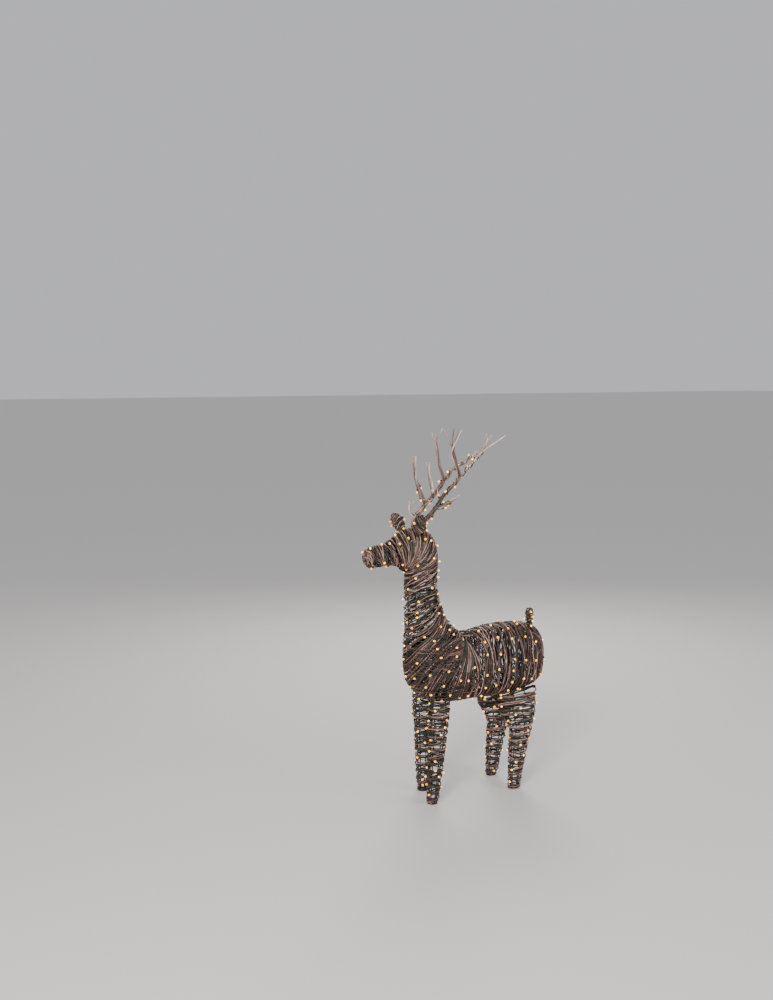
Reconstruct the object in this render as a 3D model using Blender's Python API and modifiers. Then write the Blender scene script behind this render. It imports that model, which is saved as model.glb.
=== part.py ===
"""Lighted wicker reindeer: a garden figure of welded wire, wound with strands and strings of lights.

Metres, +Z up, nose towards -Y, so the reindeer's own left is +X. The origin is on the ground under
the middle of the figure. The legs pull down out of their sockets and the antlers pull out of theirs.
"""

import math
from collections import namedtuple

import bmesh
import bpy
import numpy as np
from mathutils import Matrix, Vector

# Wire and winding stock
ROD = 0.005  # frame wire, diameter
PRONG = 0.005  # wire of the parts that plug in, diameter
EAR_ROD = 0.0035
CABLE = 0.0024  # wire of the light strings, diameter
SKIN = 0.004  # thickness of the wound strands
EAR_SKIN = 0.003
TOUCH = 0.0003  # between pieces that rest on each other
SLACK = 0.0015  # between pieces that only pass each other
SIDES = 16  # corners of a wound section
LEG_SIDES = 12

# Trunk
BELLY_HEIGHT = 0.342  # ground to the underside of the belly
TRUNK_DEPTH = 0.260  # back to belly
TRUNK_WIDTH = 0.210
RUMP_FULLNESS = 2.5  # of the corners behind the hips, which ease to an oval at the withers
RUMP_Y = 0.340  # rearmost point
HIP_Y = 0.225
WITHERS_Y = 0.031  # centre that the chest's windings fan round
WITHERS_DROP = 0.019  # below the line of the back

# Neck and head
NECK_LENGTH = 0.235
NECK_DEPTH = 0.120
NECK_WIDTH = 0.104
NECK_Y = -0.1355
THROAT_Y = -0.207  # centre that the head's windings fan round
MUZZLE_LENGTH = 0.134
MUZZLE_DROP = 8.0  # degrees below level

# Legs
LEG_X = 0.060  # of a leg's plug-in prongs
FRONT_LEG_Y = -0.097
HIND_LEG_Y = HIP_Y
FOOT_DIAMETER = 0.045
LEG_CLEARANCE = 0.007  # below the trunk, so that the lights pass between
LEG_RISE = 0.026  # of a leg's windings beside the belly, above its underside
PLUG_LENGTH = 0.060  # of a prong inside its socket
FRONT_PLUG_SPREAD = 0.022  # prong to the middle of the pair
HIND_PLUG_SPREAD = 0.030
FOOT_RING_HEIGHT = 0.004

# Sockets
SOCKET_WALL = 0.0018
SOCKET_FIT = 0.0006  # prong to socket, on the radius
PLATE = 0.003
ANTLER_PLUG_LENGTH = 0.045

BACK_HEIGHT = BELLY_HEIGHT + TRUNK_DEPTH
WITHERS_HEIGHT = BACK_HEIGHT - WITHERS_DROP
THROAT_HEIGHT = WITHERS_HEIGHT + NECK_LENGTH

# A section of the winding: its centre, the unit directions of its width and its depth, half of each,
# and its fullness, which is 2 for an oval and more for squarer corners
Station = namedtuple("Station", "centre side back wide deep fullness", defaults=(2.0,))


def colour(name, rgb, roughness, metallic=0.0):
    material = bpy.data.materials.new(name)
    material.use_nodes = True
    shader = material.node_tree.nodes["Principled BSDF"]
    shader.inputs["Base Color"].default_value = (*rgb, 1.0)
    shader.inputs["Roughness"].default_value = roughness
    shader.inputs["Metallic"].default_value = metallic
    return material


def section(y, z, lean, deep, wide, x=0.0):
    """A section across a course that heads forward at lean 0 and straight up at lean 90."""
    turn = math.radians(lean)
    back = np.array((0.0, math.sin(turn), math.cos(turn)))
    return Station(np.array((x, y, z)), np.array((1.0, 0.0, 0.0)), back, wide, deep)


def fan(pivot_y, pivot_z, lean, near, far, wide):
    """A section in a plane through a pivot, reaching from near to far away from it."""
    turn = math.radians(lean)
    back = np.array((0.0, math.sin(turn), math.cos(turn)))
    centre = np.array((0.0, pivot_y, pivot_z)) + back * (near + far) / 2
    return Station(centre, np.array((1.0, 0.0, 0.0)), back, wide, abs(far - near) / 2)


def rim_point(station, angle, inset=0.0):
    """The point of a section at this angle from its back towards its left side."""
    sine = math.sin(angle)
    cosine = math.cos(angle)
    power = 2 / station.fullness
    across = station.side * (station.wide - inset) * math.copysign(abs(sine) ** power, sine)
    along = station.back * (station.deep - inset) * math.copysign(abs(cosine) ** power, cosine)
    return station.centre + across + along


def skin_point(stations, place, angle):
    """The point at a fractional place along the sections."""
    index = min(max(int(place), 0), len(stations) - 2)
    share = place - index
    ends = rim_point(stations[index], angle), rim_point(stations[index + 1], angle)
    return ends[0] * (1 - share) + ends[1] * share


def outward_normal(stations, place, angle):
    last = len(stations) - 1
    ahead = skin_point(stations, min(place + 0.5, last), angle)
    behind = skin_point(stations, max(place - 0.5, 0), angle)
    step = math.radians(5)
    round_it = skin_point(stations, place, angle + step) - skin_point(stations, place, angle - step)
    normal = np.cross(ahead - behind, round_it)
    return normal / np.linalg.norm(normal)


def offset_point(stations, place, angle, outward):
    """The point this far outside the wound surface, or inside it when outward is negative."""
    return skin_point(stations, place, angle) + outward_normal(stations, place, angle) * outward


def place_object(name, data, material, collection):
    made = bpy.data.objects.new(name, data)
    made.data.materials.append(material)
    collection.objects.link(made)
    return made


def winding(name, stations, sides, thickness, material, foot=None, top=None):
    """A tube of wound strands, open at both ends; foot and top may reshape its first and last rim."""
    mesh = bpy.data.meshes.new(name)
    shell = bmesh.new()
    rims = []
    for station in stations:
        points = [rim_point(station, math.tau * i / sides) for i in range(sides)]
        if foot and station is stations[0]:
            points = [foot(point) for point in points]
        if top and station is stations[-1]:
            points = [top(point) for point in points]
        rims.append([shell.verts.new(point) for point in points])
    for lower, upper in zip(rims, rims[1:]):
        for i in range(sides):
            after = (i + 1) % sides
            shell.faces.new((lower[i], upper[i], upper[after], lower[after]))
    shell.to_mesh(mesh)
    shell.free()
    mesh.shade_smooth()
    made = place_object(name, mesh, material, parts)
    solidify = made.modifiers.new("wound strands", "SOLIDIFY")
    solidify.thickness = thickness
    solidify.offset = -1.0
    return made


def wire(name, points, diameter, material, cyclic=False, shares=None, collection=None):
    """A round wire through the points; shares scale its diameter point by point."""
    curve = bpy.data.curves.new(name, "CURVE")
    curve.dimensions = "3D"
    curve.bevel_depth = diameter / 2
    curve.bevel_resolution = 1
    curve.use_fill_caps = not cyclic
    spline = curve.splines.new("POLY")
    spline.points.add(len(points) - 1)
    for i, point in enumerate(points):
        spline.points[i].co = (*point, 1.0)
        spline.points[i].radius = shares[i] if shares else 1.0
    spline.use_cyclic_u = cyclic
    return place_object(name, curve, material, collection or parts)


def as_mesh(curve_object, collection):
    """The curve's surface as a mesh object with its caps welded on."""
    graph = bpy.context.evaluated_depsgraph_get()
    mesh = bpy.data.meshes.new_from_object(curve_object.evaluated_get(graph))
    welded = bmesh.new()
    welded.from_mesh(mesh)
    bmesh.ops.remove_doubles(welded, verts=welded.verts, dist=0.00001)
    bmesh.ops.recalc_face_normals(welded, faces=welded.faces)
    welded.to_mesh(mesh)
    welded.free()
    name = curve_object.name
    made = bpy.data.objects.new(name + ".solid", mesh)
    made.matrix_world = curve_object.matrix_world
    bpy.data.objects.remove(curve_object)
    made.name = name
    collection.objects.link(made)
    return made


def rod_mesh(name, start, end, radius, corners=12):
    """A straight round bar from start to end, as a helper for joining and cutting."""
    start, end = Vector(start), Vector(end)
    bar = bmesh.new()
    bmesh.ops.create_cone(
        bar, cap_ends=True, segments=corners, radius1=radius, radius2=radius, depth=(end - start).length
    )
    turn = (end - start).to_track_quat("Z", "Y").to_matrix().to_4x4()
    bmesh.ops.transform(bar, matrix=Matrix.Translation((start + end) / 2) @ turn, verts=bar.verts)
    mesh = bpy.data.meshes.new(name)
    bar.to_mesh(mesh)
    bar.free()
    return helper(bpy.data.objects.new(name, mesh))


def box_mesh(name, low, high):
    """A plate or web between two corners, as a helper for joining."""
    low, high = Vector(low), Vector(high)
    block = bmesh.new()
    bmesh.ops.create_cube(block, size=1.0)
    bmesh.ops.scale(block, vec=high - low, verts=block.verts)
    bmesh.ops.translate(block, vec=(low + high) / 2, verts=block.verts)
    mesh = bpy.data.meshes.new(name)
    block.to_mesh(mesh)
    block.free()
    return helper(bpy.data.objects.new(name, mesh))


def helper(made):
    made.hide_render = True
    made.display_type = "WIRE"
    if made.name not in helpers.objects:
        helpers.objects.link(made)
    return made


def combine(made, operation, tools):
    for tool in tools:
        modifier = made.modifiers.new(tool.name, "BOOLEAN")
        modifier.operation = operation
        modifier.object = tool


def piece_from(tools, name, material):
    """One solid joined from helpers, named and shown as a piece."""
    body = place_object(name, tools[0].data.copy(), material, parts)
    combine(body, "UNION", tools[1:])
    return body


def joint_empty(name, place, pieces):
    """An empty on a joint's axis that carries the pieces that move with it."""
    empty = bpy.data.objects.new(name, None)
    empty.location = place
    empty.empty_display_size = 0.05
    parts.objects.link(empty)
    bpy.context.view_layer.update()
    for piece in pieces:
        piece.parent = empty
        piece.matrix_parent_inverse = empty.matrix_world.inverted()
    return empty


for leftover in list(bpy.data.objects):
    bpy.data.objects.remove(leftover)

parts = bpy.data.collections.new("lighted_reindeer")
helpers = bpy.data.collections.new("cutters")
bpy.context.scene.collection.children.link(parts)
bpy.context.scene.collection.children.link(helpers)

frame_paint = colour("frame_paint", (0.05, 0.035, 0.028), 0.5, 0.6)
strand = colour("strand", (0.16, 0.11, 0.085), 0.6)
antler_strand = colour("antler_strand", (0.24, 0.17, 0.14), 0.6)
cable_green = colour("cable", (0.02, 0.045, 0.025), 0.45)
moulding = colour("moulding", (0.02, 0.03, 0.02), 0.4)

# ---- Sections of the figure, rump to nose

HALF_WIDTH = TRUNK_WIDTH / 2
WITHERS_GAP = 0.012  # pivot to the nearest windings, withers and throat alike

# Each row: distance in front of the rump, then how far the section falls short of the full trunk
# on the back, on the belly and on each side
TRUNK_ROWS = (
    (0.000, 0.104, 0.106, 0.083),
    (0.002, 0.065, 0.072, 0.055),
    (0.010, 0.039, 0.048, 0.033),
    (0.027, 0.018, 0.032, 0.015),
    (0.062, 0.006, 0.018, 0.003),
    (RUMP_Y - HIP_Y, 0.002, 0.006, 0.000),
    (0.182, 0.001, 0.000, 0.000),
    (0.250, 0.009, 0.000, 0.000),
    (RUMP_Y - WITHERS_Y, 0.031, 0.000, 0.002),
)


def trunk_section(row):
    ahead, above, below, beside = row
    low = BELLY_HEIGHT + below
    high = BACK_HEIGHT - above
    plain = section(RUMP_Y - ahead, (low + high) / 2, 0, (high - low) / 2, HALF_WIDTH - beside)
    eased = min((RUMP_Y - ahead - WITHERS_Y) / (HIP_Y - WITHERS_Y), 1.0)
    return plain._replace(fullness=2 + (RUMP_FULLNESS - 2) * eased)


# The chest turns from level to upright round the withers; each row: lean, reach beyond the
# trunk's depth below the withers, how far each side falls short of the trunk's
CHEST_ROWS = (
    (18, 0.009, 0.002),
    (36, 0.030, 0.003),
    (54, 0.027, 0.005),
    (72, -0.001, 0.009),
    (90, -0.013, 0.015),
)


def chest_section(row):
    lean, beyond, beside = row
    reach = WITHERS_HEIGHT - BELLY_HEIGHT + beyond
    return fan(WITHERS_Y, WITHERS_HEIGHT, lean, -WITHERS_GAP, -reach, HALF_WIDTH - beside)


torso_line = [trunk_section(row) for row in TRUNK_ROWS] + [chest_section(row) for row in CHEST_ROWS]

# The neck rises from the chest; each row: share of its length, how much thicker than the plain
# neck, how much wider, how far back its middle lies
NECK_BASE = torso_line[-1]
NECK_ROWS = (
    (0.12, 0.0315, 0.030, 0.0355),
    (0.25, 0.0170, 0.021, 0.0195),
    (0.50, 0.0055, 0.008, 0.0070),
    (0.76, 0.0000, 0.000, 0.0000),
    (1.00, 0.0000, 0.000, 0.0000),
)


def neck_section(row):
    share, deeper, wider, behind = row
    height = WITHERS_HEIGHT + NECK_LENGTH * share
    return section(NECK_Y + behind, height, 90, NECK_DEPTH / 2 + deeper, NECK_WIDTH / 2 + wider)


JOIN_GAP = Vector((0.0, 0.0, 0.001))  # between one winding and the next
STRAIGHT_START = Vector((0.0, 0.0, 0.006))
neck_line = [NECK_BASE._replace(centre=NECK_BASE.centre + np.array(JOIN_GAP))]
neck_line.append(NECK_BASE._replace(centre=NECK_BASE.centre + np.array(STRAIGHT_START)))
neck_line += [neck_section(row) for row in NECK_ROWS]

# The head turns forward round the throat; each row: lean, reach beyond the neck's depth, extra width
HEAD_ROWS = (
    (90, 0.0000, 0.000),
    (70, 0.0095, 0.003),
    (50, 0.0265, 0.006),
    (30, 0.0375, 0.006),
    (12, 0.0235, 0.002),
    (-6, 0.0075, -0.004),
)


def head_section(row):
    lean, beyond, wider = row
    far = NECK_DEPTH + 0.0115 + beyond
    height = THROAT_HEIGHT + JOIN_GAP.z
    return fan(THROAT_Y, height, lean, 0.0115, far, NECK_WIDTH / 2 + wider)


head_line = [head_section(row) for row in HEAD_ROWS]

# Muzzle rows: share of its length, half-depth and half-width
MUZZLE_ROWS = (
    (0.22, 0.0460, 0.040),
    (0.48, 0.0385, 0.036),
    (0.75, 0.0370, 0.033),
    (0.90, 0.0325, 0.029),
    (0.98, 0.0215, 0.020),
    (1.00, 0.0120, 0.012),
)
forehead = head_line[-1].centre
drop = math.radians(MUZZLE_DROP)
muzzle_way = np.array((0.0, -math.cos(drop), -math.sin(drop)))
for share, deep, wide in MUZZLE_ROWS:
    spot = forehead + muzzle_way * MUZZLE_LENGTH * share
    head_line.append(section(spot[1], spot[2], -MUZZLE_DROP, deep, wide))

spine = torso_line + neck_line[1:-1] + head_line
NECK_START = len(torso_line)
HEAD_START = NECK_START + len(neck_line) - 2

# ---- Frame of the body

ROD_DEPTH = SKIN + SLACK + ROD / 2 + 0.001  # strand surface to the middle of a rod
FIRST_ROD_STATION = 4
LAST_ROD_STATION = len(spine) - 4

ROD_ANGLES = {"back_rod": 0, "left_flank_rod": 90, "belly_rod": 180, "right_flank_rod": 270}
for name, degrees in ROD_ANGLES.items():
    angle = math.radians(degrees)
    stops = range(FIRST_ROD_STATION, LAST_ROD_STATION + 1)
    wire(name, [offset_point(spine, i, angle, -ROD_DEPTH) for i in stops], ROD, frame_paint)

RING_CORNERS = 12
BODY_RINGS = {
    "rump_ring": 4,
    "hip_ring": 5,
    "waist_ring": 7,
    "shoulder_ring": 8,
    "chest_ring": 12,
    "neck_base_ring": NECK_START + 1,
    "neck_ring": NECK_START + 3,
    "throat_ring": HEAD_START,
    "crown_ring": HEAD_START + 2,
    "brow_ring": HEAD_START + 5,
    "muzzle_ring": HEAD_START + 7,
}


def ring(name, station, inset, diameter, corners):
    points = [rim_point(station, math.tau * i / corners, inset) for i in range(corners)]
    return wire(name, points, diameter, frame_paint, cyclic=True)


def ring_depth(index):
    """How far inside the strands a ring lies so that all four rods pass outside it."""
    station = spine[index]
    slopes = []
    for degrees in ROD_ANGLES.values():
        angle = math.radians(degrees)
        radial = rim_point(station, angle) - station.centre
        slopes.append(abs(outward_normal(spine, index, angle).dot(radial)) / np.linalg.norm(radial))
    return (ROD_DEPTH + ROD / 2) / min(slopes) + ROD / 2 + 3 * TOUCH


for name, index in BODY_RINGS.items():
    ring(name, spine[index], ring_depth(index), ROD, RING_CORNERS)

# ---- Wound strands of the body

torso_wicker = winding("torso_wicker", torso_line, SIDES, SKIN, strand)
neck_wicker = winding("neck_wicker", neck_line, SIDES, SKIN, strand)
head_wicker = winding("head_wicker", head_line, SIDES, SKIN, strand)


def underside(x, y):
    """Height of the trunk's lower surface at this place on the ground plan."""
    heights, places = [], []
    for station in torso_line[2:12]:
        share = min(abs(x) / station.wide, 0.9)
        angle = math.pi - math.asin(share ** (station.fullness / 2))
        point = rim_point(station, angle)
        places.append(point[1])
        heights.append(point[2])
    order = np.argsort(places)
    return float(np.interp(y, np.array(places)[order], np.array(heights)[order]))


# ---- Light strings of the body

CABLE_OUT = SLACK + CABLE / 2


def sweeping_cable(name, stations, first, last, passes, corners):
    """A light string laid over the back in passes from side to side."""
    stops = np.linspace(first, last, passes)
    points = []
    for count, place in enumerate(stops):
        steps = range(-corners, corners + 1)
        for i in steps if count % 2 == 0 else reversed(steps):
            points.append(offset_point(stations, place, math.tau * i / SIDES, CABLE_OUT))
    return wire(name, points, CABLE, cable_green)


def spiral_cable(name, stations, first, last, turns, corners, out=CABLE_OUT):
    """A light string wound round and round from one place to another."""
    count = turns * corners
    points = []
    for i in range(count + 1):
        place = first + (last - first) * i / count
        points.append(offset_point(stations, place, math.tau * i / corners, out))
    return wire(name, points, CABLE, cable_green)


sweeping_cable("torso_light_wire", torso_line, 4.2, 12.2, 7, 4)
spiral_cable("neck_light_wire", neck_line, 1.6, 5.7, 3, SIDES)
spiral_cable("head_light_wire", head_line, 5.6, 9.6, 3, SIDES)

# ---- Ears

LEFT_EAR_LENGTH = 0.090
RIGHT_EAR_LENGTH = 0.078
EAR_ROOT = np.array((0.043, -0.178, THROAT_HEIGHT + 0.141))
LEFT_EAR_WAY = np.array((0.74, -0.03, 0.67))
RIGHT_EAR_WAY = np.array((-0.80, -0.13, 0.56))
LEFT_EAR_FACE = np.array((0.20, -0.93, -0.20))
RIGHT_EAR_FACE = np.array((0.50, -0.85, -0.10))
# Each row: share of the length, half-width, half-thickness
EAR_ROWS = (
    (0.00, 0.013, 0.0085),
    (0.25, 0.023, 0.0095),
    (0.50, 0.027, 0.0095),
    (0.75, 0.022, 0.0085),
    (0.93, 0.013, 0.0075),
    (1.00, 0.007, 0.0060),
)
EAR_SIDES = 12
EAR_ROD_DEPTH = EAR_SKIN + EAR_ROD / 2 + 0.0025
EAR_STEM = 0.014  # of the loop's ends below the ear, into the head


def unit(vector):
    return vector / np.linalg.norm(vector)


def ear(side_name, side, way, face, length):
    """A leaf-shaped loop wound with strands, with its face to the front."""
    mirror = np.array((side, 1.0, 1.0))
    root = EAR_ROOT * mirror
    way = unit(way)
    face = unit(face - way * face.dot(way))
    across = np.cross(face, way)
    stations = [
        Station(root + way * length * share, across, face, wide, deep) for share, wide, deep in EAR_ROWS
    ]
    winding(f"{side_name}_ear_wicker", stations, EAR_SIDES, EAR_SKIN, strand)
    edge = [rim_point(station, math.pi / 2, EAR_ROD_DEPTH) for station in stations[:-1]]
    back_edge = [rim_point(station, -math.pi / 2, EAR_ROD_DEPTH) for station in stations[:-1]]
    loop = [edge[0] - way * EAR_STEM] + edge + back_edge[::-1] + [back_edge[0] - way * EAR_STEM]
    wire(f"{side_name}_ear_frame", loop, EAR_ROD, frame_paint)
    hole_radius = EAR_ROWS[0][1] - EAR_ROD_DEPTH + EAR_ROD / 2 + 0.001
    hole = rod_mesh(f"{side_name}_ear_hole", root - way * 0.030, root + way * 0.004, hole_radius)
    combine(head_wicker, "DIFFERENCE", [hole])


ear("left", 1.0, LEFT_EAR_WAY, LEFT_EAR_FACE, LEFT_EAR_LENGTH)
ear("right", -1.0, RIGHT_EAR_WAY, RIGHT_EAR_FACE, RIGHT_EAR_LENGTH)

# ---- Tail

TAIL_Y = 0.313
TAIL_LENGTH = 0.050
TAIL_ROOT = BACK_HEIGHT - 0.006
TAIL_CLEARANCE = SKIN + 0.001
# Each row: share of the length, radius
TAIL_ROWS = (
    (0.00, 0.0125),
    (0.30, 0.0145),
    (0.75, 0.0155),
    (1.00, 0.0115),
)


def topside(y):
    """Height of the back's ridge at this distance along the trunk."""
    ridge = [rim_point(station, 0.0) for station in torso_line[:10]]
    return float(np.interp(y, [point[1] for point in ridge[::-1]], [point[2] for point in ridge[::-1]]))


def follow_back(point):
    return np.array((point[0], point[1], topside(point[1]) + TAIL_CLEARANCE))


tail_stations = [
    section(TAIL_Y, TAIL_ROOT + TAIL_LENGTH * share, 90, radius, radius) for share, radius in TAIL_ROWS
]
winding("tail_wicker", tail_stations, EAR_SIDES, SKIN, strand, foot=follow_back)
tail_foot = (0.0, TAIL_Y, topside(TAIL_Y) - 0.0065)
tail_top = (0.0, TAIL_Y, TAIL_ROOT + TAIL_LENGTH * 0.9)
wire("tail_frame", [tail_foot, tail_top], ROD, frame_paint)
tail_hole_ends = (0.0, TAIL_Y, BACK_HEIGHT - 0.05), (0.0, TAIL_Y, BACK_HEIGHT + 0.02)
tail_hole = rod_mesh("tail_hole", *tail_hole_ends, 0.004)
combine(torso_wicker, "DIFFERENCE", [tail_hole])

# ---- Sockets for the legs

SOCKET_BORE = PRONG / 2 + SOCKET_FIT
SOCKET_OUTSIDE = SOCKET_BORE + SOCKET_WALL
PROUD = 0.004  # of a socket below the strands


def leg_bracket(name, middle_y, spread, web_low, web_high):
    """A plate across the trunk with four sockets down through the strands, standing on the belly rod."""
    places = [(side * LEG_X, middle_y + way * spread) for side in (1, -1) for way in (1, -1)]
    foot = max(underside(x, y) for x, y in places) - SKIN - PROUD
    top = foot + PLUG_LENGTH
    reach_x = LEG_X + SOCKET_OUTSIDE + 0.004
    reach_y = spread + SOCKET_OUTSIDE + 0.003
    plate = box_mesh(
        f"{name}.plate", (-reach_x, middle_y - reach_y, top - PLATE), (reach_x, middle_y + reach_y, top)
    )
    rod_top = max(underside(0.0, web_low), underside(0.0, web_high)) + ROD_DEPTH + ROD / 2 + 0.002
    web = box_mesh(f"{name}.web", (-PLATE / 2, web_low, rod_top), (PLATE / 2, web_high, top - PLATE / 2))
    tubes, bores = [], []
    for count, (x, y) in enumerate(places):
        tubes.append(rod_mesh(f"{name}.tube{count}", (x, y, foot), (x, y, top - 0.0005), SOCKET_OUTSIDE))
        bores.append(rod_mesh(f"{name}.bore{count}", (x, y, foot - 0.01), (x, y, top + 0.01), SOCKET_BORE))
        hole = rod_mesh(f"{name}.hole{count}", (x, y, foot - 0.03), (x, y, top), SOCKET_OUTSIDE + 0.001)
        combine(torso_wicker, "DIFFERENCE", [hole])
    bracket = piece_from([plate, web] + tubes, name, frame_paint)
    combine(bracket, "DIFFERENCE", bores)
    return foot, top


FRONT_WEB = (FRONT_LEG_Y - 0.010, FRONT_LEG_Y + 0.010)  # along the belly rod, clear of the rings
HIND_WEB = (HIP_Y - 0.028, HIP_Y - 0.010)
FRONT_SOCKET = leg_bracket("front_leg_bracket", FRONT_LEG_Y, FRONT_PLUG_SPREAD, *FRONT_WEB)
HIND_SOCKET = leg_bracket("hind_leg_bracket", HIND_LEG_Y, HIND_PLUG_SPREAD, *HIND_WEB)

# ---- Legs

# Each row: share of the height from the ground to the belly, half-depth and half-width beyond
# the foot's, and how far the middle bows back from the straight line between foot and socket
FRONT_LEG_ROWS = (
    (0.030, 0.0000, 0.0000, 0.000),
    (0.250, 0.0035, 0.0035, 0.000),
    (0.500, 0.0080, 0.0080, 0.001),
    (0.750, 0.0120, 0.0120, 0.001),
    (0.900, 0.0155, 0.0155, 0.000),
    (0.965, 0.0165, 0.0160, 0.000),
)
HIND_LEG_ROWS = (
    (0.030, 0.0005, 0.0000, 0.000),
    (0.250, 0.0080, 0.0065, 0.006),
    (0.500, 0.0165, 0.0115, 0.014),
    (0.625, 0.0220, 0.0135, 0.020),
    (0.760, 0.0395, 0.0175, 0.012),
    (0.860, 0.0535, 0.0190, 0.002),
    (0.965, 0.0570, 0.0195, 0.000),
)
FOOT_RADIUS = FOOT_DIAMETER / 2
LEG_ROD_DEPTH = SKIN + SLACK + PRONG / 2 + TOUCH


def leg_stations(rows, foot, hip, forward):
    """Sections of a leg from the foot up; its middle runs from the foot to its sockets."""
    stations = []
    for share, deeper, wider, bow in rows:
        height = BELLY_HEIGHT * share
        x = foot[0] + (hip[0] - foot[0]) * share
        y = foot[1] + (hip[1] - foot[1]) * share + bow - forward * min(1.0, share * 1.6)
        stations.append(section(y, height, 90, FOOT_RADIUS + deeper, FOOT_RADIUS + wider, x))
    return stations


def leg(name, foot, side, rows, hip_y, spread, socket, forward=0.0):
    """A wound leg with its wire frame; socket holds the heights of a socket's foot and top."""
    hip = (side * LEG_X, hip_y)
    stations = leg_stations(rows, foot, hip, forward)

    def follow_trunk(point):
        height = min(underside(point[0], point[1]) - LEG_CLEARANCE, BELLY_HEIGHT + LEG_RISE)
        return np.array((point[0], point[1], max(height, stations[-1].centre[2])))

    wicker = winding(f"{name}_wicker", stations, LEG_SIDES, SKIN, strand, top=follow_trunk)

    foot_height = FOOT_RING_HEIGHT + TOUCH + 0.0006
    bars = []
    crank = socket[0] - 0.012
    for label, degrees in (("rear", 0), ("left", 90), ("front", 180), ("right", 270)):
        angle = math.radians(degrees)
        base = offset_point(stations, 0, angle, -LEG_ROD_DEPTH)
        points = [np.array((base[0], base[1], foot_height))]
        points += [offset_point(stations, i, angle, -LEG_ROD_DEPTH) for i in range(1, len(stations) - 1)]
        if label in ("rear", "front"):
            prong_y = hip[1] + (spread if label == "rear" else -spread)
            points.append(np.array((hip[0], prong_y, crank)))
            points.append(np.array((hip[0], prong_y, socket[1] - 0.002)))
        bar = wire(f"{name}.{label}", points, PRONG, frame_paint, collection=helpers)
        bars.append(helper(as_mesh(bar, helpers)))
    for count, station in enumerate((stations[2], stations[-2])):
        hoop = ring(f"{name}.hoop{count}", station, LEG_ROD_DEPTH, ROD, LEG_SIDES)
        bars.append(helper(as_mesh(hoop, helpers)))
    frame = piece_from(bars, f"{name}_frame", frame_paint)

    inner = stations[0].wide - SKIN - SLACK
    foot_ring = annulus(f"{name}_foot_ring", foot, inner - ROD - 0.003, inner, FOOT_RING_HEIGHT)

    cable = spiral_cable(f"{name}_light_wire", stations, 0.3, len(stations) - 2.6, 3, LEG_SIDES)
    joint_empty(f"{name}_joint", (hip[0], hip[1], socket[0]), [wicker, frame, foot_ring, cable])


def annulus(name, centre, inside, outside, height):
    """A flat ring on the ground, turned from its cross-section."""
    mesh = bpy.data.meshes.new(name)
    corners = ((inside, height), (outside, height), (outside, 0.0), (inside, 0.0))
    mesh.from_pydata([(radius, 0.0, z) for radius, z in corners], [(0, 1), (1, 2), (2, 3), (3, 0)], [])
    made = place_object(name, mesh, moulding, parts)
    made.location = (centre[0], centre[1], 0.0)
    screw = made.modifiers.new("turned", "SCREW")
    screw.steps = 16
    screw.render_steps = 16
    screw.use_merge_vertices = True
    screw.merge_threshold = 0.0001
    return made


# Where each foot stands on the ground
FRONT_LEFT_FOOT = (0.067, -0.130)
FRONT_RIGHT_FOOT = (-0.070, -0.095)
HIND_LEFT_FOOT = (0.080, 0.201)
HIND_RIGHT_FOOT = (-0.080, 0.204)
RIGHT_HIND_FORWARD = 0.013  # its thigh stands this far ahead of the other's

# What the two legs of a pair share: rows, distance of the hip along the trunk, prong spread, socket
FRONT_PAIR = (FRONT_LEG_ROWS, FRONT_LEG_Y, FRONT_PLUG_SPREAD, FRONT_SOCKET)
HIND_PAIR = (HIND_LEG_ROWS, HIND_LEG_Y, HIND_PLUG_SPREAD, HIND_SOCKET)

leg("front_left_leg", FRONT_LEFT_FOOT, 1, *FRONT_PAIR)
leg("front_right_leg", FRONT_RIGHT_FOOT, -1, *FRONT_PAIR)
leg("hind_left_leg", HIND_LEFT_FOOT, 1, *HIND_PAIR)
leg("hind_right_leg", HIND_RIGHT_FOOT, -1, *HIND_PAIR, forward=RIGHT_HIND_FORWARD)

# ---- Antlers and their sockets

ANTLER_X = 0.030
ANTLER_Y = -0.150
ANTLER_SEAT = THROAT_HEIGHT + 0.146  # height of a socket's mouth
PULL = unit(np.array((0.195, 0.390, 0.900)))  # way out of the left socket
BEAM = 0.017  # diameter of an antler's wound beam at its base
TIP = 0.0045  # diameter of a loose strand at a tip
BEAM_WIRE_CLEARANCE = 0.0006
SOCKET_LENGTH = 0.040

# Antler rows are offsets from the socket's mouth, for an antler on the left
LEFT_BEAM = (
    (0.0165, 0.047, 0.072),
    (0.0230, 0.070, 0.109),
    (0.0300, 0.096, 0.137),
    (0.0385, 0.126, 0.173),
    (0.0520, 0.163, 0.214),
    (0.0660, 0.206, 0.260),
)
RIGHT_BEAM = (
    (0.0180, 0.056, 0.072),
    (0.0260, 0.093, 0.099),
    (0.0360, 0.140, 0.146),
    (0.0460, 0.189, 0.189),
    (0.0540, 0.240, 0.212),
    (0.0650, 0.300, 0.243),
)
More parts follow.
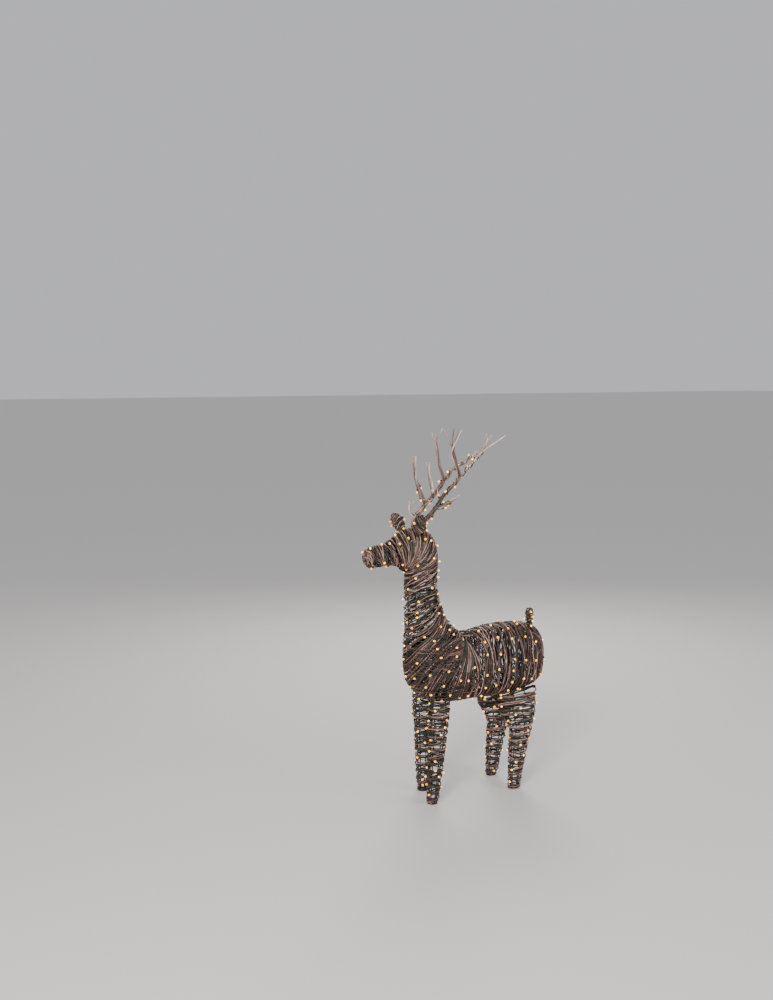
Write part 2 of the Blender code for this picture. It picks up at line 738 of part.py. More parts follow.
# Each tine: its points, outermost last, then the loose ends that splay from its tip
LEFT_TINES = (
    (((0.0185, 0.054, 0.068), (0.0250, 0.096, 0.091), (0.0300, 0.132, 0.112)), ()),
    (
        ((0.0400, 0.129, 0.174), (0.0440, 0.111, 0.222), (0.0480, 0.096, 0.262)),
        ((0.0440, 0.064, 0.334), (0.0540, 0.099, 0.338), (0.0620, 0.122, 0.331)),
    ),
    (
        ((0.0650, 0.206, 0.258), (0.0655, 0.214, 0.278), (0.0660, 0.219, 0.292)),
        ((0.0600, 0.222, 0.317), (0.0740, 0.233, 0.314), (0.0880, 0.278, 0.312)),
    ),
)
RIGHT_TINES = (
    (((0.0060, 0.004, 0.028), (0.0190, -0.002, 0.056), (0.0290, 0.004, 0.088)), ((0.0240, 0.020, 0.088),)),
    (
        ((0.0200, 0.053, 0.080), (0.0300, 0.043, 0.125), (0.0360, 0.033, 0.164), (0.0420, 0.029, 0.226)),
        ((0.0400, 0.035, 0.239), (0.0460, 0.026, 0.240)),
    ),
    (
        ((0.0280, 0.102, 0.103), (0.0370, 0.093, 0.141), (0.0430, 0.087, 0.179), (0.0480, 0.087, 0.206)),
        ((0.0460, 0.093, 0.217), (0.0520, 0.082, 0.218)),
    ),
    (
        ((0.0360, 0.140, 0.146), (0.0440, 0.131, 0.207), (0.0500, 0.123, 0.266)),
        ((0.0540, 0.107, 0.316), (0.0400, 0.111, 0.308), (0.0600, 0.152, 0.328)),
    ),
)


def antler_bracket():
    """Two leaning sockets joined by a plate under the crown."""
    tubes, bores = [], []
    for side in (1.0, -1.0):
        mirror = np.array((side, 1.0, 1.0))
        mouth = np.array((ANTLER_X, ANTLER_Y, ANTLER_SEAT)) * mirror
        way = PULL * mirror
        low = mouth - way * SOCKET_LENGTH
        tubes.append(rod_mesh(f"antler_tube{side:+.0f}", low, mouth, SOCKET_OUTSIDE))
        bores.append(rod_mesh(f"antler_bore{side:+.0f}", low - way * 0.02, mouth + way * 0.02, SOCKET_BORE))
        hole = rod_mesh(f"antler_hole{side:+.0f}", low, mouth + way * 0.03, SOCKET_OUTSIDE + 0.001)
        combine(head_wicker, "DIFFERENCE", [hole])
    down = SOCKET_LENGTH * 0.8  # from the mouths to the plate
    middle = np.array((0.0, ANTLER_Y - PULL[1] * down, ANTLER_SEAT - PULL[2] * down))
    half = Vector((ANTLER_X - PULL[0] * down, SOCKET_OUTSIDE, PLATE / 2))
    plate = box_mesh("antler_plate", Vector(middle) - half, Vector(middle) + half)
    bracket = piece_from([plate] + tubes, "antler_bracket", frame_paint)
    combine(bracket, "DIFFERENCE", bores)


def antler(side_name, side, beam_rows, tines):
    mirror = np.array((side, 1.0, 1.0))
    mouth = np.array((ANTLER_X, ANTLER_Y, ANTLER_SEAT)) * mirror
    way = PULL * mirror
    name = f"{side_name}_antler"
    start = mouth + way * 0.003
    beam = [start, start + way * 0.030] + [mouth + np.array(row) * mirror for row in beam_rows]
    taper = np.linspace(1.0, 0.55, len(beam)).tolist()

    inside = [mouth - way * (ANTLER_PLUG_LENGTH - 0.010)] + beam[:-2]
    wire(f"{name}_frame", inside, PRONG, frame_paint)

    beam_wire = wire(f"{name}.beam", beam, BEAM, strand, shares=taper, collection=helpers)
    solids = [helper(as_mesh(beam_wire, helpers))]
    for count, (points, ends) in enumerate(tines):
        line = [mouth + np.array(point) * mirror for point in points]
        shares = np.linspace(1.0, 0.75, len(line)).tolist()
        tine = wire(f"{name}.tine{count}", line, BEAM * 0.55, strand, shares=shares, collection=helpers)
        solids.append(helper(as_mesh(tine, helpers)))
        for number, end in enumerate(ends):
            root = line[-1] * 0.75 + line[-2] * 0.25
            stray = [root, mouth + np.array(end) * mirror]
            loose = wire(f"{name}.end{count}{number}", stray, TIP, strand, collection=helpers)
            solids.append(helper(as_mesh(loose, helpers)))
    wicker = piece_from(solids, f"{name}_wicker", antler_strand)
    hollow = [beam[0] - way * 0.01] + beam[1:-2] + [beam[-2] * 0.4 + beam[-3] * 0.6]
    bore = wire(f"{name}.hollow", hollow, PRONG + 2 * BEAM_WIRE_CLEARANCE, strand, collection=helpers)
    combine(wicker, "DIFFERENCE", [helper(as_mesh(bore, helpers))])

    run = []
    for share, point in zip(taper[1:-1], beam[1:-1]):
        run.append(point + np.array((side, 0.0, 0.0)) * (BEAM / 2 * share + SLACK + CABLE))
    cable = wire(f"{name}_light_wire", run, CABLE, cable_green)
    joint_empty(f"{name}_joint", mouth, [wicker, bpy.data.objects[f"{name}_frame"], cable])


antler_bracket()
antler("left", 1.0, LEFT_BEAM, LEFT_TINES)
antler("right", -1.0, RIGHT_BEAM, RIGHT_TINES)

# ---- Inlet of the supply lead, lying on the belly rod

GLAND_DIAMETER = 0.012
GLAND_BORE = 0.0055
GLAND_LENGTH = 0.026
gland_y = HIP_Y + 0.012
gland_floor = max(underside(0.0, gland_y), underside(0.0, gland_y + GLAND_LENGTH))
gland_z = gland_floor + ROD_DEPTH + ROD / 2 + 2 * TOUCH + GLAND_DIAMETER / 2
gland_ends = (0.0, gland_y, gland_z), (0.0, gland_y + GLAND_LENGTH, gland_z)
gland_body = rod_mesh("gland_body", *gland_ends, GLAND_DIAMETER / 2, 16)
gland = piece_from([gland_body], "lead_gland", moulding)
bore_ends = (0.0, gland_y - 0.01, gland_z), (0.0, gland_y + GLAND_LENGTH + 0.01, gland_z)
gland_bore = rod_mesh("gland_bore", *bore_ends, GLAND_BORE / 2)
combine(gland, "DIFFERENCE", [gland_bore])
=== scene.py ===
import math
import bpy
import numpy as np
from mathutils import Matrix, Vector


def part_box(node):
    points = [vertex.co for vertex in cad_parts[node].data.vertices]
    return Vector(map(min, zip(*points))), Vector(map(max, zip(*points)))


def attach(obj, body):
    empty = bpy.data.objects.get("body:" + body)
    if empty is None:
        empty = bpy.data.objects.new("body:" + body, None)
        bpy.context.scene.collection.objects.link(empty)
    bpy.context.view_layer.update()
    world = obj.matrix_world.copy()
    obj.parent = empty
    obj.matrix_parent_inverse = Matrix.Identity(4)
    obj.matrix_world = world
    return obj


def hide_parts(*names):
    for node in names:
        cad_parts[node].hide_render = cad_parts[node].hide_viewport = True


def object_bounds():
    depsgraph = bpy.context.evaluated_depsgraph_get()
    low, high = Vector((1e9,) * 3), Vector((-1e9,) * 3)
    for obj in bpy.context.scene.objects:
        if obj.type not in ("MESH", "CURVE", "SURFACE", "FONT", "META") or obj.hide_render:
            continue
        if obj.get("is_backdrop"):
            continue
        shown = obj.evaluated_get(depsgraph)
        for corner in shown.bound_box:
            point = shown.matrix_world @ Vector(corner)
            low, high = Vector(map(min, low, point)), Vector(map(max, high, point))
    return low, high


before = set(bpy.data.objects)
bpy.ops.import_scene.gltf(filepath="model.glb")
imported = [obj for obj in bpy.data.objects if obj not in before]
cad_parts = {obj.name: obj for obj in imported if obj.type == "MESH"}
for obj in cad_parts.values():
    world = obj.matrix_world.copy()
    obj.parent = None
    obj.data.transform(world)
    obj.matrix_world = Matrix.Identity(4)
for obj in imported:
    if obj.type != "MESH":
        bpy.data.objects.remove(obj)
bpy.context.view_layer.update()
print("frame loaded:", len(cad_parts), "parts")


def srgb(code, alpha=1.0):  # hex colour to linear light
    shares = np.array([int(code[i:i + 2], 16) / 255 for i in (1, 3, 5)])
    light = np.where(shares <= 0.04045, shares / 12.92, ((shares + 0.055) / 1.055) ** 2.4)
    return (*light.tolist(), alpha)


def addNode(tree, kind, settings=None, links=None):  # one node, its values and what feeds it
    node = tree.nodes.new(kind)
    for key, value in (settings or {}).items():
        if isinstance(key, int) or key in node.inputs:
            node.inputs[key].default_value = value
        else:
            setattr(node, key, value)
    for key, source in (links or {}).items():
        tree.links.new(source, node.inputs[key])
    return node


def newMaterial(name):
    material = bpy.data.materials.new(name)
    material.use_nodes = True
    tree = material.node_tree
    return material, tree, tree.nodes["Principled BSDF"]


def setRamp(ramp, stops):  # stops are (place, hex colour)
    elements = ramp.color_ramp.elements
    while len(elements) < len(stops):
        elements.new(0.5)
    for element, (place, code) in zip(elements, stops):
        element.position = place
        element.color = srgb(code)


# Extruded polyethylene wicker: oval cord drawn through a die, matte, with fine grooves along it. Each point
# of a strand carries its tone, and its run: the length along the strand and the place round it. Short light
# and dark ticks along the strand multiply its colour: painted highlights and painted shade, as where light
# catches its bends.
def wickerStrand(name, look):
    material, tree, shader = newMaterial(name)
    tone = addNode(tree, "ShaderNodeAttribute", {"attribute_name": "tone"})
    run = addNode(tree, "ShaderNodeAttribute", {"attribute_name": "run"})
    ramp = addNode(tree, "ShaderNodeValToRGB", links={"Fac": tone.outputs["Fac"]})
    setRamp(ramp, look["shades"])
    stretch = addNode(
        tree,
        "ShaderNodeMapping",
        {"Scale": (1 / look["paintedGlintLength"], 0.5, 0.5)},
        {"Vector": run.outputs["Vector"]},
    )
    # painted highlights and painted shade: noise in short ticks along the strand that multiplies its colour
    glintNoise = addNode(
        tree, "ShaderNodeTexNoise", {"Scale": 1.0, "Detail": 3.0}, {"Vector": stretch.outputs["Vector"]}
    )
    paintedGlints = addNode(
        tree,
        "ShaderNodeMapRange",
        {"From Min": 0.3, "From Max": 0.7, "To Min": look["paintedGlintLow"], "To Max": look["paintedGlintHigh"]},
        {"Value": glintNoise.outputs["Fac"]},
    )
    shaded = addNode(
        tree,
        "ShaderNodeMix",
        {"data_type": "RGBA", "blend_type": "MULTIPLY", 0: 1.0},
        {6: ramp.outputs["Color"], 7: paintedGlints.outputs["Result"]},
    )
    tree.links.new(shaded.outputs[2], shader.inputs["Base Color"])
    groove = addNode(
        tree,
        "ShaderNodeMapping",
        {"Scale": (1 / look["grooveLength"], 2.6, 2.6)},
        {"Vector": run.outputs["Vector"]},
    )
    grain = addNode(
        tree, "ShaderNodeTexNoise", {"Scale": 1.0, "Detail": 4.0}, {"Vector": groove.outputs["Vector"]}
    )
    rough = addNode(
        tree,
        "ShaderNodeMapRange",
        {"To Min": look["roughness"] - 0.1, "To Max": look["roughness"] + 0.15},
        {"Value": grain.outputs["Fac"]},
    )
    bump = addNode(
        tree,
        "ShaderNodeBump",
        {"Strength": 0.6, "Distance": look["grooveDepth"]},
        {"Height": grain.outputs["Fac"]},
    )
    tree.links.new(rough.outputs["Result"], shader.inputs["Roughness"])
    tree.links.new(bump.outputs["Normal"], shader.inputs["Normal"])
    shader.inputs["IOR"].default_value = 1.5
    return material


bodyStrand = wickerStrand(
    "extruded polyethylene wicker, dark brown",
    {
        "shades": ((0.0, "#0D0908"), (0.35, "#251914"), (0.65, "#543B32"), (1.0, "#B08A7D")),
        # painted highlights and shade: length of a tick along the strand, and how far it darkens and
        # brightens the colour
        "paintedGlintLength": 0.022,
        "paintedGlintLow": 0.40,
        "paintedGlintHigh": 1.75,
        "grooveLength": 0.012,
        "grooveDepth": 0.0004,
        "roughness": 0.5,
    },
)
antlerStrand = wickerStrand(
    "extruded polyethylene wicker, light brown",
    {
        "shades": ((0.0, "#1C1411"), (0.35, "#4A372F"), (0.7, "#8E7066"), (1.0, "#DDBCB0")),
        # painted highlights and shade: length of a tick along the strand, and how far it darkens and
        # brightens the colour
        "paintedGlintLength": 0.022,
        "paintedGlintLow": 0.50,
        "paintedGlintHigh": 1.50,
        "grooveLength": 0.010,
        "grooveDepth": 0.0004,
        "roughness": 0.5,
    },
)


# PVC cable sleeve and moulded lamp holders: one dark green, slightly glossy and soft-edged.
def plasticFinish(name, code, roughness, cloudSize, shift):
    material, tree, shader = newMaterial(name)
    place = addNode(tree, "ShaderNodeTexCoord")
    clouds = addNode(
        tree,
        "ShaderNodeTexNoise",
        {"Scale": 1 / cloudSize, "Detail": 3.0},
        {"Vector": place.outputs["Object"]},
    )
    ramp = addNode(tree, "ShaderNodeValToRGB", links={"Fac": clouds.outputs["Fac"]})
    base = np.array(srgb(code)[:3])
    for element, share, stop in zip(ramp.color_ramp.elements, (1 - shift, 1 + shift), (0.3, 0.7)):
        element.position = stop
        element.color = (*(base * share).tolist(), 1.0)
    rough = addNode(
        tree,
        "ShaderNodeMapRange",
        {"To Min": roughness - 0.08, "To Max": roughness + 0.08},
        {"Value": clouds.outputs["Fac"]},
    )
    tree.links.new(ramp.outputs["Color"], shader.inputs["Base Color"])
    tree.links.new(rough.outputs["Result"], shader.inputs["Roughness"])
    return material, tree, shader


cableSleeve = plasticFinish("extruded pvc cable sleeve, dark green", "#1C3A24", 0.38, 0.008, 0.25)[0]
lampHolder = plasticFinish("moulded pvc lamp holder, dark green", "#1B3322", 0.42, 0.004, 0.2)[0]
footMoulding = plasticFinish("moulded polyethylene, black green", "#1A211B", 0.45, 0.006, 0.2)[0]

# Powder coat on steel wire: baked polyester over metal, with a fine orange-peel ripple.
peelSize = 0.0015
powderCoat, tree, shader = plasticFinish("powder coated steel wire, dark brown", "#3B2B22", 0.42, 0.006, 0.2)
peel = addNode(
    tree,
    "ShaderNodeTexNoise",
    {"Scale": 1 / peelSize, "Detail": 2.0},
    {"Vector": addNode(tree, "ShaderNodeTexCoord").outputs["Object"]},
)
ripple = addNode(
    tree, "ShaderNodeBump", {"Strength": 0.25, "Distance": 0.0002}, {"Height": peel.outputs["Fac"]}
)
tree.links.new(ripple.outputs["Normal"], shader.inputs["Normal"])

# Warm white lamp in a clear polystyrene cap, lit: cream at the tip and amber where the cap meets its holder.
lampLens, tree, shader = newMaterial("clear polystyrene lamp cap, lit warm white")
glow = addNode(tree, "ShaderNodeAttribute", {"attribute_name": "tone"})
warmth = addNode(tree, "ShaderNodeValToRGB", links={"Fac": glow.outputs["Fac"]})
setRamp(warmth, ((0.0, "#C87808"), (0.35, "#F0A018"), (0.7, "#FFCC50"), (1.0, "#FFF0B4")))
tree.links.new(warmth.outputs["Color"], shader.inputs["Emission Color"])
tree.links.new(warmth.outputs["Color"], shader.inputs["Base Color"])
shader.inputs["Emission Strength"].default_value = 3.0
shader.inputs["Roughness"].default_value = 0.15
shader.inputs["IOR"].default_value = 1.59
print("materials made")

rng = np.random.default_rng(360)


def unit(vectors):
    return vectors / np.linalg.norm(vectors, axis=-1, keepdims=True)


# A course is a row of sections. Each holds its centre, the directions of its width and depth, half of each,
# and its fullness, from 2 for an oval to higher for squarer corners.
def section(y, z, lean, deep, wide, x=0.0, fullness=2.0):
    turn = math.radians(lean)
    return (x, y, z, 1, 0, 0, 0, math.sin(turn), math.cos(turn), wide, deep, fullness)


def fanSection(pivot, lean, near, far, wide):  # in a plane through a pivot, from near to far away from it
    turn = math.radians(lean)
    middle = (near + far) / 2
    y = pivot[0] + math.sin(turn) * middle
    z = pivot[1] + math.cos(turn) * middle
    return section(y, z, lean, abs(far - near) / 2, wide)


# Catmull-Rom: between two rows each value follows a cubic whose slope at a row is half the step
# from the row before to the row after.
def between(rows, place):
    last = len(rows) - 1
    lower = np.clip(np.floor(place).astype(int), 0, last - 1)
    t = (place - lower)[:, None]
    before = rows[np.maximum(lower - 1, 0)]
    here = rows[lower]
    there = rows[lower + 1]
    after = rows[np.minimum(lower + 2, last)]
    return 0.5 * (
        2 * here
        + (there - before) * t
        + (2 * before - 5 * here + 4 * there - after) * t**2
        + (3 * here - before - 3 * there + after) * t**3
    )


# A point of a course: centre + side * half width * sine + back * half depth * cosine, with both raised
# to the power 2 / fullness and keeping their signs.
def rimPoints(course, place, angle):
    rows = between(course["rows"], np.clip(place, 0, len(course["rows"]) - 1))
    side = unit(rows[:, 3:6])
    back = unit(rows[:, 6:9])
    sine = np.sin(angle)[:, None]
    cosine = np.cos(angle)[:, None]
    power = 2 / rows[:, 11:12]
    wide = np.maximum(rows[:, 9:10], 0.001) * np.sign(sine) * np.abs(sine) ** power
    deep = np.maximum(rows[:, 10:11], 0.001) * np.sign(cosine) * np.abs(cosine) ** power
    points = rows[:, 0:3] + side * wide + back * deep
    return course["reshape"](points, place) if "reshape" in course else points


# The outward normal is the cross product of the step along the course and the step round it, and a hair
# more, so that it is never nothing.
def skinPoints(course, place, angle, lift):
    points = rimPoints(course, place, angle)
    along = rimPoints(course, place + 0.04, angle) - rimPoints(course, place - 0.04, angle)
    around = rimPoints(course, place, angle + 0.03) - rimPoints(course, place, angle - 0.03)
    normals = unit(np.cross(along, around) + 1e-12)
    return points + normals * np.reshape(lift, (-1, 1)), normals


# Length along a course, taken on whichever side of the sections is longest at each step.
def measured(course):
    places = np.linspace(0, len(course["rows"]) - 1, 40 * len(course["rows"]))
    angles = np.arange(0, 6.2, 0.4)
    rims = np.stack([rimPoints(course, places, np.full_like(places, angle)) for angle in angles])
    steps = np.linalg.norm(np.diff(rims, axis=1), axis=2).max(axis=0)
    course["places"] = places
    course["lengths"] = np.concatenate([[0.0], np.cumsum(steps)])
    return course


def lengthAt(course, place):
    return float(np.interp(place, course["places"], course["lengths"]))


# Random shifts at so many anchors a turn, joined by straight lines, as a strand runs taut from rod to rod.
def wander(turns, reach, anchors):
    spots = np.arange(0, turns[-1] + 2 / anchors, 1 / anchors)
    return np.interp(turns, spots, rng.uniform(-1, 1, len(spots)) * reach)


def runLength(points):
    return np.concatenate([[0.0], np.cumsum(np.linalg.norm(np.diff(points, axis=0), axis=1))])


# Faces of a tube of so many rings: corner k of ring j is point j * sides + k, and the points that close
# its two ends come last.
def tubeFaces(rings, sides):
    here = np.arange(rings - 1)[:, None] * sides + np.arange(sides)
    after = np.arange(rings - 1)[:, None] * sides + (np.arange(sides) + 1) % sides
    one = np.arange(sides)
    two = (one + 1) % sides
    top = (rings - 1) * sides
    low = np.stack([np.full(sides, rings * sides), two, one], axis=1)
    high = np.stack([np.full(sides, rings * sides + 1), top + one, top + two], axis=1)
    quads = np.stack([here, after, after + sides, here + sides], axis=2).reshape(-1, 4)
    return quads, np.concatenate([low, high])


# A strand is an oval carried along a path: point + across * half width * cos + up * half height * sin.
def strandBits(points, normals, halfWidth, halfHeight, tone, sides=6):
    count = len(points)
    tangents = unit(np.gradient(points, axis=0))
    across = unit(np.cross(normals, tangents))
    up = np.cross(tangents, across)
    turn = np.arange(sides) * math.tau / sides
    halfWidth = np.broadcast_to(np.reshape(halfWidth, (-1, 1, 1)), (count, 1, 1))
    halfHeight = np.broadcast_to(np.reshape(halfHeight, (-1, 1, 1)), (count, 1, 1))
    ring = across[:, None] * np.cos(turn)[:, None] * halfWidth
    ring = ring + up[:, None] * np.sin(turn)[:, None] * halfHeight
    body = (points[:, None] + ring).reshape(-1, 3)
    length = runLength(points)
    run = np.stack(np.broadcast_arrays(length[:, None], np.cos(turn), np.sin(turn)), axis=2).reshape(-1, 3)
    quads, triangles = tubeFaces(count, sides)
    tones = np.broadcast_to(np.reshape(tone, (-1, 1)), (count, sides)).reshape(-1)
    return {
        "points": np.concatenate([body, points[:1], points[-1:]]),
        "quads": quads,
        "triangles": triangles,
        "run": np.concatenate([run, [(0, 0, 0), (length[-1], 0, 0)]]),
        "tone": np.concatenate([tones, [tones[0], tones[-1]]]),
    }


# A turned shape: a profile of (radius, height) carried round an axis, with both ends closed by a point.
def turnedBits(profile, sides, tones):
    profile = np.array(profile)
    turn = np.arange(sides) * math.tau / sides
    circle = np.stack([np.cos(turn), np.sin(turn)], axis=1)
    inner = profile[1:-1]
    flat = inner[:, None, 0:1] * circle
    height = np.broadcast_to(inner[:, None, 1:2], (len(inner), sides, 1))
    body = np.concatenate([flat, height], axis=2).reshape(-1, 3)
    poles = np.array([(0, 0, profile[0][1]), (0, 0, profile[-1][1])])
    quads, triangles = tubeFaces(len(inner), sides)
    return {
        "points": np.concatenate([body, poles]),
        "quads": quads,
        "triangles": triangles,
        "run": np.zeros((len(body) + 2, 3)),
        "tone": np.concatenate([np.repeat(tones[1:-1], sides), [tones[0], tones[-1]]]),
    }


# Copies of one shape: each point becomes place + x * first + y * second + z * axis.
def copiesOf(bits, places, axes):
    guide = np.where(np.abs(axes[:, 2:3]) < 0.8, (0.0, 0.0, 1.0), (1.0, 0.0, 0.0))
    first = unit(np.cross(guide, axes))
    second = np.cross(axes, first)
    turned = np.stack([first, second, axes], axis=1)
    points = places[:, None] + np.einsum("pi,kij->kpj", bits["points"], turned)
    step = np.arange(len(places))[:, None, None] * len(bits["points"])
    return {
        "points": points.reshape(-1, 3),
        "quads": (bits["quads"] + step).reshape(-1, 4),
        "triangles": (bits["triangles"] + step).reshape(-1, 3),
        "run": np.tile(bits["run"], (len(places), 1)),
        "tone": np.tile(bits["tone"], len(places)),
    }


def joined(shapes):
    starts = np.cumsum([0] + [len(shape["points"]) for shape in shapes[:-1]])
    bits = {key: np.concatenate([shape[key] for shape in shapes]) for key in ("points", "run", "tone")}
    for key in ("quads", "triangles"):
        bits[key] = np.concatenate([shape[key] + start for shape, start in zip(shapes, starts)])
    return bits


def addPiece(name, shapes, material, body, stands=()):
    bits = joined(shapes)
    mesh = bpy.data.meshes.new(name)
    corners = np.concatenate([bits["quads"].ravel(), bits["triangles"].ravel()])
    sizes = np.concatenate([np.full(len(bits["quads"]), 4), np.full(len(bits["triangles"]), 3)])
    mesh.vertices.add(len(bits["points"]))
    mesh.vertices.foreach_set("co", bits["points"].ravel().astype(np.float32))
    mesh.loops.add(len(corners))
    mesh.loops.foreach_set("vertex_index", corners.astype(np.int32))
    mesh.polygons.add(len(sizes))
    mesh.polygons.foreach_set("loop_start", (np.cumsum(sizes) - sizes).astype(np.int32))
    mesh.polygons.foreach_set("use_smooth", np.ones(len(sizes), bool))
    mesh.update(calc_edges=True)
    tone = mesh.attributes.new("tone", "FLOAT", "POINT")
    tone.data.foreach_set("value", bits["tone"].astype(np.float32))
    run = mesh.attributes.new("run", "FLOAT_VECTOR", "POINT")
    run.data.foreach_set("vector", bits["run"].ravel().astype(np.float32))
    mesh.materials.append(material)
    piece = bpy.data.objects.new(name, mesh)
    bpy.context.scene.collection.objects.link(piece)
    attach(piece, body)
    if stands:
        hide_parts(*stands)


winding = {
    "halfWidth": 0.0016,
    "halfHeight": 0.0014,
    "beside": 0.0031,  # between the strands of one bundle
    "bundleReach": 0.0060,  # of a whole bundle from an even winding
    "bundleAnchors": 2.5,
    "rough": 0.0011,  # of the strands' height on the surface
    "roughAnchors": 14,
    "toneSpread": 0.18,  # between strands
    # painted highlight and shade: the tone wanders lighter and darker along one strand, standing for light
    # that comes and goes along it
    "paintedLightDrift": 0.42,  # along one strand
}


def bodyBits(points, normals, tone):
    return strandBits(points, normals, winding["halfWidth"], winding["halfHeight"], tone)


# A bundle of strands goes round and round: angle grows with the turns, and the length along the course
# grows by one pitch a turn plus a wander, so that turns bunch and part as hand winding does. Where the
# course has a tilt, the length is also longer by tilt * cosine of the angle from the turns' highest side.
# Each layer gives its pitch, how many strands lie side by side, which way round they go, their lift from
# the surface, how far a strand wanders along the course, at how many anchors a turn, and its tone. The tone
# holds
# painted shade: a deeper layer is given a darker tone, standing for the shade beneath the layers over it.
def woundStrands(course, start, stop, layers, stepsPerTurn):
    shapes = []
    for pitch, strands, way, lift, reach, anchors, tone in layers:
        turns = (stop - start) / pitch
        ticks = np.linspace(0, turns, int(turns * stepsPerTurn) + 1)
        shared = start + ticks * pitch + wander(ticks, winding["bundleReach"], winding["bundleAnchors"])
        angle = rng.uniform(0, math.tau) + way * math.tau * ticks
        for strand in range(strands):
            aside = (strand - (strands - 1) / 2) * winding["beside"]
            length = shared + aside + wander(ticks, reach, anchors)
            if "tilt" in course:
                length = length + np.interp(length, *course["tilt"]) * np.cos(angle - course["highest"])
            place = np.interp(length, course["lengths"], course["places"])
            height = lift + wander(ticks, winding["rough"], winding["roughAnchors"])
            points, normals = skinPoints(course, place, angle, height)
            shade = tone + rng.uniform(-1, 1) * winding["toneSpread"]
            # painted highlight and shade along the strand
            shade = np.clip(shade + wander(ticks, winding["paintedLightDrift"], anchors / 2), 0, 1)
            shapes.append(bodyBits(points, normals, shade))
    return shapes


lamp = {
    "cableRadius": 0.0013,
    "lift": -0.0006,  # of the cable's middle from the surface
    "rough": 0.0006,  # of that lift
    "proud": 0.0020,  # of a lamp's middle beyond the cable's
    "lean": (0.05, 0.45),  # outwards, as a share of its lean along the cable
    "skew": 0.7,
    "sides": 8,
    # radius and height of each corner of the profile, and for the cap its tone there
    "holder": (
        (0, -0.005),
        (0.0016, -0.005),
        (0.0021, -0.003),
        (0.0023, 0.003),
        (0.0021, 0.0038),
        (0, 0.0038),
    ),
    "lens": (
        (0, 0.0036),
        (0.0026, 0.0036),
        (0.0034, 0.0056),
        (0.0033, 0.0086),
        (0.0021, 0.0107),
        (0, 0.0114),
    ),
    "lensTones": (0.0, 0.0, 0.15, 0.4, 0.9, 1.0),
}
holderShape = turnedBits(lamp["holder"], lamp["sides"], (0,) * len(lamp["holder"]))
lensShape = turnedBits(lamp["lens"], lamp["sides"], lamp["lensTones"])
lampCounts = []


# Lamps share out the surface evenly: each has the same amount of length along the cable times distance to
# the cable's next turn. They lean out from it by a random share.
def lightsAlong(paths, counts):
    cables, holders, lenses = [], [], []
    for (points, normals, gaps), count in zip(paths, counts):
        cables.append(strandBits(points, normals, lamp["cableRadius"], lamp["cableRadius"], 0.0))
        areas = np.cumsum(np.linalg.norm(np.diff(points, axis=0), axis=1) * gaps[1:])
        stops = (np.arange(count) + rng.uniform(0.3, 0.7, count)) * areas[-1] / count
        place = np.interp(stops, areas, np.arange(1, len(points)))
        lower = np.clip(np.floor(place).astype(int), 0, len(points) - 2)
        share = (place - lower)[:, None]
        spots = points[lower] * (1 - share) + points[lower + 1] * share
        tangents = unit(points[lower + 1] - points[lower])
        outward = unit(normals[lower])
        across = np.cross(outward, tangents)
        lean = rng.uniform(*lamp["lean"], (count, 1))
        way = rng.choice((-1.0, 1.0), (count, 1))
        skew = rng.uniform(-1, 1, (count, 1)) * lamp["skew"]
        axes = unit(outward * lean + tangents * way + across * skew)
        spots = spots + outward * lamp["proud"]
        holders.append(copiesOf(holderShape, spots, axes))
        lenses.append(copiesOf(lensShape, spots, axes))
        lampCounts.append(count)
    return cables, holders, lenses


def addLights(name, paths, counts, body, node):
    cables, holders, lenses = lightsAlong(paths, counts)
    addPiece(f"{name}_cable", cables, cableSleeve, body, (node,))
    addPiece(f"{name}_lamp_holders", holders, lampHolder, body)
    addPiece(f"{name}_lamp_caps", lenses, lampLens, body)


# A light string winds round a course at an even pitch and a wander. The third result is how far it is
# from each of its points to its next turn.
def lightPath(course, start, stop, turns, reach, stepsPerTurn=30, lift=lamp["lift"]):
    ticks = np.linspace(0, turns, int(turns * stepsPerTurn) + 1)
    length = np.clip(start + (stop - start) * ticks / turns + wander(ticks, reach, 3), start, stop)
    place = np.interp(length, course["lengths"], course["places"])
    angle = rng.uniform(0, math.tau) + math.tau * ticks
    points, normals = skinPoints(course, place, angle, lift + wander(ticks, lamp["rough"], 6))
    gaps = np.linalg.norm(points[stepsPerTurn:] - points[:-stepsPerTurn], axis=1)
    return points, normals, np.pad(gaps, (0, stepsPerTurn), "edge")


# The trunk, neck and head are one course, from the rump to the nose.
torsoLow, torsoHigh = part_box("torso_wicker")
trunk = {
    "rump": torsoHigh.y,
    "back": torsoHigh.z + 0.001,
    "belly": torsoLow.z,
    "halfWidth": 0.105,
    "fullness": 2.5,  # of the corners behind the hips
    "easeOver": (0.194, 0.309),  # the fullness eases to an oval over the first length, ending at the second
    # distance ahead of the rump, then how far the section falls short on the back, belly and sides
    "rows": (
        (-0.001, 0.127, 0.129, 0.102),
        (0.000, 0.104, 0.106, 0.083),
        (0.002, 0.065, 0.072, 0.055),
        (0.010, 0.039, 0.048, 0.033),
        (0.027, 0.018, 0.032, 0.015),
        (0.062, 0.006, 0.018, 0.003),
        (0.115, 0.002, 0.006, 0.000),
        (0.182, 0.001, 0.000, 0.000),
        (0.250, 0.009, 0.000, 0.000),
        (0.309, 0.031, 0.000, 0.002),
    ),
    # the chest turns round the withers: lean, reach beyond the trunk's depth, shortfall of the sides
    "withers": (0.031, 0.583),
    "reach": 0.241,
    "gap": 0.012,
    "chest": (
        (18, 0.009, 0.002),
        (36, 0.030, 0.003),
        (54, 0.027, 0.005),
        (72, -0.001, 0.009),
        (90, -0.013, 0.015),
    ),
}
neck = {
    "length": 0.235,
    "halfDepth": 0.060,
    "halfWidth": 0.052,
    "middle": -0.1355,
    # share of the length, extra half depth, extra half width, how far back the middle lies
    "rows": (
        (0.12, 0.0315, 0.030, 0.0355),
        (0.25, 0.0170, 0.021, 0.0195),
        (0.50, 0.0055, 0.008, 0.0070),
        (0.76, 0.0000, 0.000, 0.0000),
    ),
}
